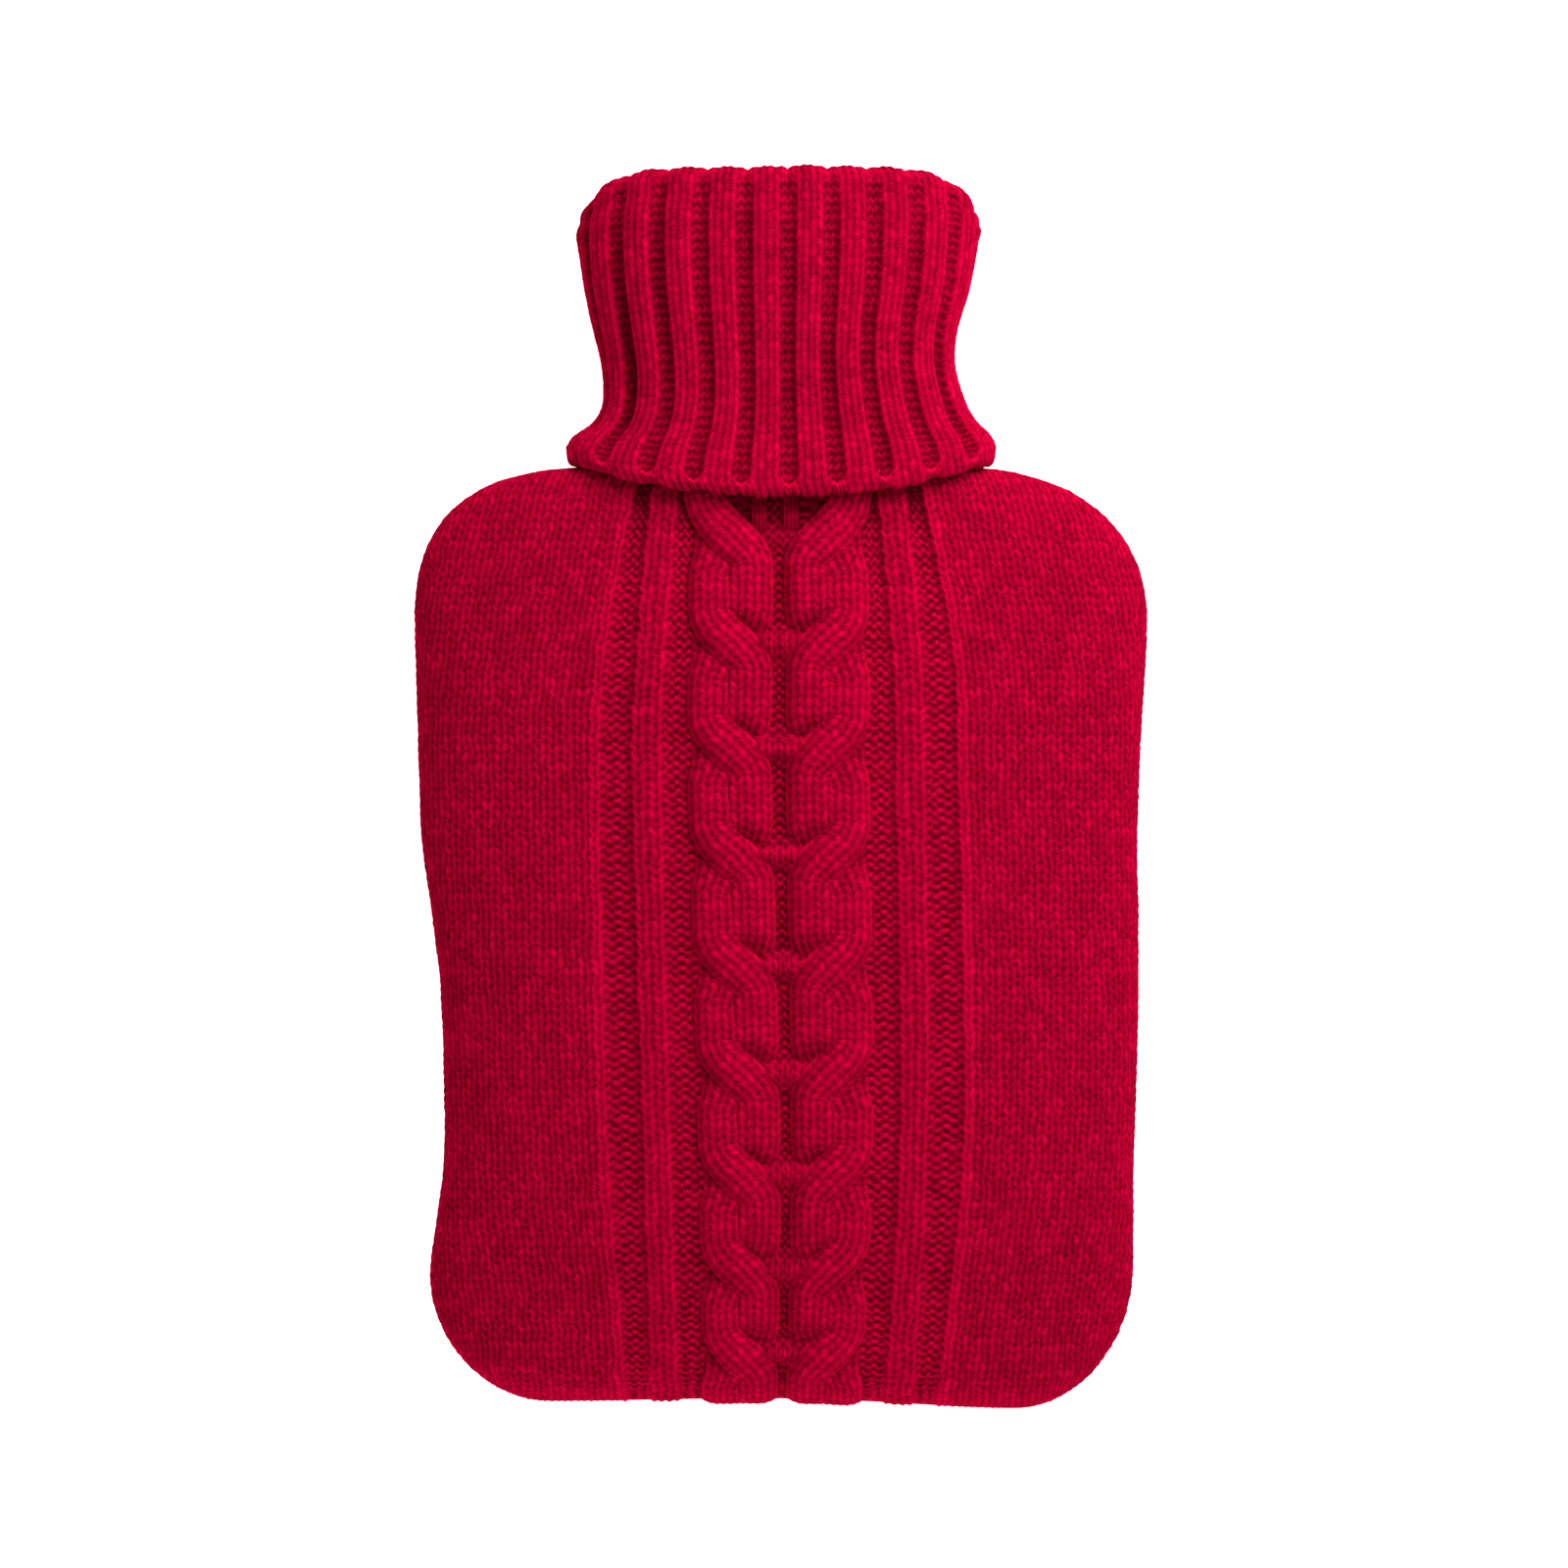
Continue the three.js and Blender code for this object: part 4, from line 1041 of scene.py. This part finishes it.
def roll_rings(station, line):
    """The roll's smooth surface: a ring of points for each station."""
    frayed = Wander(WANDER_SEED + 9, *HEM_PATCHES)(line.column, 0)
    knob = np.abs(np.sin(math.pi * line.column)) + HEM_FRAY * frayed
    edge = HEM_SCALLOP * line.form + HEM_BEAD * knob
    rings = []
    for along, inset, foot in zip(station.along, station.inset, station.foot):
        oval = oval_at(min(along, OVAL_TOP_Y), inset, foot)
        hem = 1 - smooth_step(HEM_Y, HEM_Y + 2 * HEM_CLOSING, along)
        x, z = oval_points(oval, (line.turn + HEM_LEAN * hem) % 1).T
        side_share = np.abs(x) / max(oval["left"], oval["right"])
        back_share = smooth_step(*BACK_SHARE, -z / oval["back"])
        lift = roll_lift(along, side_share, back_share) * (1 - foot) - hem * edge
        rings.append(np.stack([x, along + lift, SEAM_HEIGHT + z], -1))
    return np.array(rings)


def out_of_roll(rings):
    """Directions that stand square on the roll and point out of its cloth."""
    square, outer = square_to(rings, closed=True), len(rings) // 2
    outwards = (square[outer] * (rings[outer] - rings[outer].mean(0))).sum() > 0
    return square if outwards else -square


def near_fold(along, reach):
    """Share, 0 to 1, by which a place has come near the top of the fold."""
    start, end = reach
    return smooth_step(FOLD_Y - start * FOLD_DEPTH, FOLD_Y - end * FOLD_DEPTH, along)[:, None]


def roll_net(sizes):
    """Net of the whole roll. Each of its rows is a station, each of its columns goes round the hem."""
    station, line = roll_profile(sizes), roll_lines()
    rings = roll_rings(station, line)
    square = out_of_roll(rings)
    run = np.r_[0, np.cumsum(np.linalg.norm(np.diff(rings[:, 0], axis=0), axis=1))]
    course, along, calm = run[:, None] / sizes.course, station.along[:, None], station.stitches[:, None]
    purl = line.purl[None, :] * (station.ribs > PURL_FROM)[:, None]
    bottom = HEM_Y + HEM_CLOSING + HEM_BEND * line.bend[None, :]
    closing = station.ribs[:, None] * smooth_step(0, 1, (along - bottom) / HEM_BEND)
    folded, on_top = near_fold(station.along, FOLD_FORM_REACH), near_fold(station.along, FOLD_LOOK_REACH)
    rim = 4 * closing * (1 - closing) * (line.form[None, :] < 0)
    pinch = roll_creases(line.turn[None, :], along) * (station.inset == 0)[:, None]
    bumps = stitch_relief(line.column, course, purl, sizes, ROLL_SEED, ROLL_LOOK)
    bumps = bumps * calm * (1 - FOLD_CALM * on_top)
    lobes = np.abs(np.sin(math.pi * (line.turn * ROLL_REPEATS - ROLL_PHASE))) ** FOLD_LOBE
    ribbing = blend(line.form[None, :], FOLD_TOP - FOLD_RIBS * (1 - lobes[None, :]), folded)
    ribs = ROLL_RELIEF * (blend(HEM_TOP, ribbing, closing) + RIM_HEIGHT * rim) - ROLL_SINK
    ribs = ribs * (calm > 0) - PINCH_DEPTH * pinch
    wander = Wander(WANDER_SEED + 5, *ROLL_PATCHES)(line.column[None, :], course) * ROLL_WANDER
    points = rings + square * (bumps + ribs + wander * calm)[..., None]
    stretch = np.gradient(course[:, 0])[:, None] * LINES_PER_COURSE
    shift = ROLL_SLANT * lean(line.column, sizes) / np.maximum(stretch, 0.5) * (calm > LEAN_FROM)
    points = leaning(points, shift)
    points[..., 2] = np.maximum(points[..., 2], 0)
    # Painted shade in the grooves, inside the neck and in the pinches; painted highlight on the ribs, their
    # outer legs and the loops at the hem.
    shade = np.where(line.form < 0, ROLL_SHADE, -RIB_LIGHT - LINE_LIGHT * line.worn)[None, :]
    painted_shading = shade * closing * (1 - FOLD_LIGHT[0] * folded) * (1 - FOLD_LIGHT[1] * on_top)
    painted_shading = painted_shading - RIB_LIGHT * (1 - closing) - RIM_LIGHT * rim
    painted_shading = painted_shading + (station.inset > sizes.cloth / 2)[:, None] * INNER_SHADE + PINCH_SHADE * pinch
    column = np.r_[line.column, REPEAT_COLUMNS * ROLL_REPEATS]
    return Net(points, column, course, purl * (1 - FOLD_KNIT * on_top), painted_shading, closed=True, flip=True)


def roll_piece(sizes, material):
    """The roll neck. Its last ring meets its foot, so that the folded cloth closes."""
    net = roll_net(sizes)
    net.points = np.concatenate([net.points, net.points[:1]])
    for name in ("column", "course", "purl", "painted_shading"):
        values = getattr(net, name)
        setattr(net, name, np.concatenate([values, values[-1:]]))
    return knitted("roll_neck_knit", [net], material, FOOT_WELD_REACH)


# ---- Wool ----

# Tones run from 0, the colour of the painted shade deep between the yarns, to 1, the wool's full colour.
KNIT_TONE, LEG_TONE, BEAD_TONE, PIT_TONE, PIT_POWER = 0.150, 0.235, 0.11, 0.09, 1.5   # knit stitches: painted highlight on legs and beads, painted shade in the pits
PURL_TONE, LOCK_TONE, LOCK_POWER = 0.10, 0.82, 1.2   # purl stitches: painted highlight on the bumps, painted shade between them
LEG_SCATTER, GLEAM, PAINTED_SHADING_TONE = 0.19, 0.22, 0.24   # how legs differ, painted highlight on the lightest legs' tops, and strength of the painted shade and highlight
FIBRE_TONE, FIBRE_SCALE, FIBRE_HEIGHT = 1.0, 1700.0, 0.9   # fine fibre
STRAND_TONE, STRAND_GRAIN, STRAND_RELIEF = 0.6, (9.0, 2.2, 3.0), 0.45   # the yarn's own twisted strands
MOTTLE_TONE, MOTTLE_SCALE = 0.16, 90.0   # soft patches
BUMP_LEG, LEG_POWER, BUMP_BEAD = 0.8, 0.7, 0.6   # the yarn's rounding on top of the mesh
BUMP_STRENGTH, BUMP_DEPTH = 0.55, 0.0005
NAP = {"Sheen Weight": 0.28, "Sheen Roughness": 0.45, "Sheen Tint": (1.0, 0.004, 0.07, 1.0)}


class Value:
    """A socket of a material's nodes, used as a number in expressions."""

    def __init__(self, recipe, socket):
        self.recipe, self.socket = recipe, socket

    def _math(self, operation, *others):
        inputs = dict(enumerate((self, *others)))
        return self.recipe.add("ShaderNodeMath", {"operation": operation}, inputs)

    def __add__(self, other):
        return self._math("ADD", other)

    def __sub__(self, other):
        return self._math("SUBTRACT", other)

    def __mul__(self, other):
        return self._math("MULTIPLY", other)

    def __pow__(self, other):
        return self._math("POWER", other)

    def __rsub__(self, other):
        return self.recipe.add("ShaderNodeMath", {"operation": "SUBTRACT"}, {0: other, 1: self})

    __radd__, __rmul__ = __add__, __mul__

    def cos(self):
        return self._math("COSINE")

    def floor(self):
        return self._math("FLOOR")

    def least(self, other):
        return self._math("MINIMUM", other)

    def most(self, other):
        return self._math("MAXIMUM", other)


class Recipe:
    """Builds one material's nodes."""

    def __init__(self, name):
        self.material = bpy.data.materials.new(name)
        self.material.use_nodes = True
        self.tree = self.material.node_tree
        self.tree.nodes.clear()

    def add(self, kind, settings=None, inputs=None, output=0):
        """A node of this kind, with its settings made first and then its sockets' values or links."""
        node = self.tree.nodes.new(kind)
        for name, value in (settings or {}).items():
            setattr(node, name, value)
        for name, value in (inputs or {}).items():
            if isinstance(value, Value):
                self.tree.links.new(value.socket, node.inputs[name])
            else:
                node.inputs[name].default_value = value
        return Value(self, node.outputs[output]) if len(node.outputs) else node

    def mix(self, share, first, second):
        """A colour between two others."""
        settings = {"data_type": "RGBA"}
        return self.add("ShaderNodeMix", settings, {0: share, 6: first, 7: second}, output=2)

    def vector(self, x, y, z=0.0):
        return self.add("ShaderNodeCombineXYZ", None, {0: x, 1: y, 2: z})


def noise(made, place, scale, detail, **settings):
    """Noise at a place of a material, about 0."""
    inputs = {"Vector": place, "Scale": scale, "Detail": detail, **settings}
    return made.add("ShaderNodeTexNoise", None, inputs) - 0.5


def stitch_tones(u, v, sizes, look):
    """How much each place is on a leg and on a bead of a knit stitch, and on a bump of a purl one."""
    turn = 2 * math.pi
    legs = 0.5 - 0.5 * (u * (2 * turn)).cos()
    bead = 0.5 - 0.5 * (v * turn).cos()
    wave = (u * turn).cos()
    locked = wave * ((v + sizes.slant * wave) * turn).cos()
    chained = ((v + 0.25) * turn).cos()
    lock = 0.5 + 0.5 * (1 - look.chain) * locked + 0.5 * look.chain * chained
    return legs, bead, lock


def wool(name, colour, deep, sizes, look):
    """Knitted wool: yarn legs and purl bumps drawn in painted light and shade from the stitch coordinates,
    fibre, and a soft nap.
    """
    made = Recipe(name)
    plan = made.add("ShaderNodeUVMap", {"uv_map": "stitch"})
    u, v = (made.add("ShaderNodeSeparateXYZ", None, {0: plan}, output=axis) for axis in (0, 1))
    purl, painted_shading = (
        made.add("ShaderNodeAttribute", {"attribute_name": key}, output=2) for key in ("purl", "painted_shading")
    )
    place = made.add("ShaderNodeTexCoord", None, None, output=3)
    legs, bead, lock = stitch_tones(u, v, sizes, look)
    # Painted highlight on the legs and beads of knit stitches and on purl bumps, painted shade in the pits
    # and gaps between them.
    pits = (1 - legs) ** 2 * (1 - bead) ** PIT_POWER
    knit_tone = KNIT_TONE + LEG_TONE * legs + look.beads * (BEAD_TONE * bead - PIT_TONE * pits)
    purl_tone = PURL_TONE + LOCK_TONE * lock**LOCK_POWER
    tone = knit_tone * (1 - purl) + purl_tone * purl
    scatter = made.add(
        "ShaderNodeTexWhiteNoise",
        {"noise_dimensions": "2D"},
        {"Vector": made.vector((u * 2.0).floor(), v.floor())},
    )
    across, along, twist = STRAND_GRAIN
    fibre = noise(made, place, FIBRE_SCALE, 3.0, Roughness=0.6)
    strands = noise(made, made.vector(u * across, v * along + u * twist), 1.0, 2.0)
    mottle = noise(made, place, MOTTLE_SCALE, 2.0)
    tone = tone + LEG_SCATTER * (scatter - 0.5) + FIBRE_TONE * fibre
    tone = tone + STRAND_TONE * strands + MOTTLE_TONE * mottle
    # Painted highlight on the tops of the lightest legs, and the painted shade and highlight of each point.
    tone = tone + GLEAM * (scatter**5 * legs * bead) * (1 - purl) - PAINTED_SHADING_TONE * painted_shading
    rounding = BUMP_LEG * legs**LEG_POWER + BUMP_BEAD * (bead * look.beads)
    height = rounding * (1 - purl) + lock * purl + FIBRE_HEIGHT * fibre + STRAND_RELIEF * strands
    bump_inputs = {"Strength": BUMP_STRENGTH, "Distance": BUMP_DEPTH, "Height": height}
    surface_inputs = {
        "Base Color": made.mix(tone.most(0.0).least(1.0), (*deep, 1.0), (*colour, 1.0)),
        "Normal": made.add("ShaderNodeBump", None, bump_inputs),
        "Roughness": 0.95,
        "Specular IOR Level": 0.0,
        **NAP,
    }
    surface = made.add("ShaderNodeBsdfPrincipled", None, surface_inputs)
    made.add("ShaderNodeOutputMaterial", None, {"Surface": surface})
    return made.material


def material_for(slot, colours, sizes):
    """The wool of one material slot."""
    colour, look = {
        "red_wool_cable_front": (colours.front, BODY_LOOK),
        "red_wool_plain_back": (colours.back, BODY_LOOK),
        "red_wool_rib_neck": (colours.roll, ROLL_LOOK),
    }[slot]
    return wool(f"{slot}_wool", tuple(colour), tuple(colours.deep), sizes, look)


def dress(piece, node=None):
    """Rides a piece on the cover's body, in place of its node of the frame."""
    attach(piece, "root")
    if node:
        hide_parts(node)
    return piece


# ---- Settings ----


class CoverSizes(bpy.types.PropertyGroup):
    """Sizes of the cloth and its stitches"""

    cloth: FloatProperty(
        name="Cloth", description="Thickness of the knitted cloth",
        default=0.0032, min=0.001, unit="LENGTH",
    )
    column: FloatProperty(
        name="Column", description="Width of a stitch", default=0.00377, min=0.001, unit="LENGTH"
    )
    course: FloatProperty(
        name="Course", description="Height of a stitch", default=0.00259, min=0.001, unit="LENGTH"
    )
    knit_height: FloatProperty(
        name="Knit height", description="Half the depth of knit stitches",
        default=0.00039, min=0, unit="LENGTH",
    )
    purl_height: FloatProperty(
        name="Purl height", description="Half the depth of purl stitches",
        default=0.00062, min=0, unit="LENGTH",
    )
    slant: FloatProperty(
        name="Slant", description="Rise of a stitch's legs to each side, in courses",
        default=0.21, min=0, max=0.6,
    )
    fuzz: FloatProperty(
        name="Fuzz", description="Roughness of the yarn's surface", default=0.00003, min=0, unit="LENGTH"
    )
    unevenness: FloatProperty(
        name="Unevenness", description="How much the stitches differ in height",
        default=0.16, min=0, max=0.5,
    )


class CoverColours(bpy.types.PropertyGroup):
    """Colours of the wool"""

    front: FloatVectorProperty(
        name="Front", description="Colour of the front's wool",
        default=(0.655, 0.0004, 0.041), subtype="COLOR",
    )
    back: FloatVectorProperty(
        name="Back", description="Colour of the back's wool",
        default=(0.645, 0.0004, 0.040), subtype="COLOR",
    )
    roll: FloatVectorProperty(
        name="Roll neck", description="Colour of the roll neck's wool",
        default=(0.655, 0.0004, 0.041), subtype="COLOR",
    )
    # The colour of the painted shade deep between the yarns, the dark end of the wool's tones.
    deep: FloatVectorProperty(
        name="Deep", description="Colour deep between the yarns",
        default=(0.11, 0.0002, 0.006), subtype="COLOR",
    )


class StageSettings(bpy.types.PropertyGroup):
    """Floor, lamps and camera"""

    floor: FloatVectorProperty(
        name="Floor", description="Colour of the floor", default=(0.97, 0.97, 0.97), subtype="COLOR"
    )
    sky: FloatProperty(
        name="Fill", description="Strength of the light all round", default=0.60, min=0
    )
    glow: FloatProperty(
        name="Floor glow", description="Light that the floor gives off", default=0.95, min=0
    )
    key: FloatProperty(
        name="Key", description="Power of the large soft lamp", default=8.3, min=0, subtype="POWER"
    )
    key_place: FloatVectorProperty(
        name="Key place", description="Middle of the large soft lamp",
        default=(0.33, 0.50, 0.50), subtype="TRANSLATION",
    )
    lamp_size: FloatProperty(
        name="Lamp size", description="Side of each square soft lamp", default=0.55, unit="LENGTH"
    )
    low: FloatProperty(
        name="Low light", description="Power of the lamp past the bottom seam",
        default=3.4, min=0, subtype="POWER",
    )
    low_place: FloatVectorProperty(
        name="Low place", description="Middle of the low lamp",
        default=(0.0, -0.70, 0.06), subtype="TRANSLATION",
    )
    view_middle: FloatVectorProperty(
        name="View middle", description="Point that the camera looks at",
        default=(0.0008, 0.0011, 0.025), subtype="TRANSLATION",
    )
    view_width: FloatProperty(
        name="View width", description="Width of the view at the side seams",
        default=0.440, unit="LENGTH",
    )
    view_height: FloatProperty(
        name="Camera height", description="Height of the camera above the view's middle",
        default=2.4, unit="LENGTH",
    )


# ---- Operators ----


# Flat sizes, before anything is sewn: each panel 58 columns by 106 courses, less its rounded corners and
# its shoulders, and the roll neck 88 columns round by 66 courses up the inside and down the outside.


class COVER_OT_front(bpy.types.Operator):
    """Knit the front panel"""

    bl_idname = "cover.front_panel"
    bl_label = "Front panel"

    def execute(self, context):
        sizes, face = context.scene.cover_sizes, BagFace(front=True)
        material = material_for("red_wool_cable_front", context.scene.cover_colours, sizes)
        halves = [front_half(face, sizes, sign) for sign in (-1, 1)]
        panel = dress(
            knitted("front_knit", halves, material, WELD_REACH), "front_panel"
        )
        for name, sign in (("left_cable", -1), ("right_cable", 1)):
            nets = [strand_net(face, sizes, crossing, sign) for crossing in range(len(CROSSINGS) + 1)]
            dress(knitted(name, nets, material))
        ribs = dress(knitted("inner_neck_ribs", neck_rib_nets(face, sizes), material))
        return {"FINISHED"}


class COVER_OT_back(bpy.types.Operator):
    """Knit the back panel"""

    bl_idname = "cover.back_panel"
    bl_label = "Back panel"

    def execute(self, context):
        sizes, face = context.scene.cover_sizes, BagFace(front=False)
        material = material_for("red_wool_plain_back", context.scene.cover_colours, sizes)
        halves = [back_half(face, sizes, sign) for sign in (-1, 1)]
        panel = dress(
            knitted("back_knit", halves, material, WELD_REACH), "back_panel"
        )
        return {"FINISHED"}


class COVER_OT_roll(bpy.types.Operator):
    """Knit the roll neck"""

    bl_idname = "cover.roll_neck"
    bl_label = "Roll neck"

    def execute(self, context):
        sizes = context.scene.cover_sizes
        material = material_for("red_wool_rib_neck", context.scene.cover_colours, sizes)
        roll = dress(roll_piece(sizes, material), "roll_neck")
        return {"FINISHED"}


class COVER_OT_stage(bpy.types.Operator):
    """Set up the floor, the light and the camera"""

    bl_idname = "cover.stage"
    bl_label = "Stage"

    def execute(self, context):
        stage = context.scene.cover_stage
        lay_floor(stage)
        light(stage)
        set_camera(stage)
        context.scene.view_settings.view_transform = "Standard"
        return {"FINISHED"}


FLOOR_HALF, FLOOR_GRAIN, FLOOR_GRAIN_SHARE, FLOOR_SHADE = 4.0, 40.0, 0.02, (0.9, 0.9, 0.9, 1.0)
LAMP_AIM = (0.02, 0.0, 0.03)
CLIP = 0.1, 20                   # nearest and farthest that the camera sees


def lay_floor(stage):
    """A plain pale floor of paper that glows a little."""
    corners = [(x * FLOOR_HALF, y * FLOOR_HALF, 0) for x, y in ((-1, -1), (1, -1), (1, 1), (-1, 1))]
    mesh = bpy.data.meshes.new("floor")
    mesh.from_pydata(corners, [], [(0, 1, 2, 3)])
    paper = Recipe("floor_paper")
    grain = paper.add("ShaderNodeTexNoise", None, {"Scale": FLOOR_GRAIN, "Detail": 2.0})
    surface_inputs = {
        "Base Color": paper.mix(FLOOR_GRAIN_SHARE * grain, (*stage.floor, 1.0), FLOOR_SHADE),
        "Roughness": 0.9,
        "Emission Color": (1.0, 1.0, 1.0, 1.0),
        "Emission Strength": stage.glow,
    }
    surface = paper.add("ShaderNodeBsdfPrincipled", None, surface_inputs)
    paper.add("ShaderNodeOutputMaterial", None, {"Surface": surface})
    mesh.materials.append(paper.material)
    floor = bpy.data.objects.new("floor", mesh)
    bpy.context.collection.objects.link(floor)


def light(stage):
    """Soft light from all round, a large lamp up to the right and a low one past the bottom seam."""
    world = bpy.data.worlds.new("studio")
    world.use_nodes = True
    background = world.node_tree.nodes["Background"]
    background.inputs["Color"].default_value = (1, 1, 1, 1)
    background.inputs["Strength"].default_value = stage.sky
    bpy.context.scene.world = world
    hang_lamp("key", stage.key_place, stage.lamp_size, stage.key)
    hang_lamp("low", stage.low_place, stage.lamp_size, stage.low)


def hang_lamp(name, place, size, power):
    """A square soft lamp that looks at the cover."""
    lamp = bpy.data.lights.new(name, "AREA")
    lamp.shape, lamp.size, lamp.energy = "SQUARE", size, power
    hung = bpy.data.objects.new(name, lamp)
    hung.location = place
    aim = Vector(LAMP_AIM) - Vector(place)
    hung.rotation_mode = "QUATERNION"
    hung.rotation_quaternion = aim.to_track_quat("-Z", "Y")
    bpy.context.collection.objects.link(hung)


def set_camera(stage):
    """The camera, which looks straight down at the cover's face."""
    lens = bpy.data.cameras.new("camera")
    lens.lens = lens.sensor_width * stage.view_height / stage.view_width
    lens.clip_start, lens.clip_end = CLIP
    camera = bpy.data.objects.new("camera", lens)
    camera.location = Vector(stage.view_middle) + Vector((0, 0, stage.view_height))
    bpy.context.collection.objects.link(camera)
    bpy.context.scene.camera = camera


class COVER_PT_panel(bpy.types.Panel):
    """Knit the cover piece by piece"""

    bl_label = "Bottle Cover"
    bl_idname = "COVER_PT_panel"
    bl_space_type = "VIEW_3D"
    bl_region_type = "UI"
    bl_category = "Bottle Cover"

    def draw(self, context):
        for group in (context.scene.cover_sizes, context.scene.cover_colours, context.scene.cover_stage):
            box = self.layout.box()
            for name in group.__annotations__:
                box.prop(group, name)
        for operator in OPERATORS:
            self.layout.operator(operator.bl_idname)


GROUPS = {"cover_sizes": CoverSizes, "cover_colours": CoverColours, "cover_stage": StageSettings}
OPERATORS = (COVER_OT_front, COVER_OT_back, COVER_OT_roll, COVER_OT_stage)


def register():
    for group in GROUPS.values():
        bpy.utils.register_class(group)
    for name, group in GROUPS.items():
        setattr(bpy.types.Scene, name, PointerProperty(type=group))
    for item in (*OPERATORS, COVER_PT_panel):
        bpy.utils.register_class(item)


def unregister():
    for item in (COVER_PT_panel, *reversed(OPERATORS)):
        bpy.utils.unregister_class(item)
    for name in GROUPS:
        delattr(bpy.types.Scene, name)
    for group in reversed(GROUPS.values()):
        bpy.utils.unregister_class(group)


def main():
    register()
    bpy.ops.cover.front_panel()
    bpy.ops.cover.back_panel()
    bpy.ops.cover.roll_neck()
    bpy.ops.cover.stage()


if __name__ == "__main__":
    main()
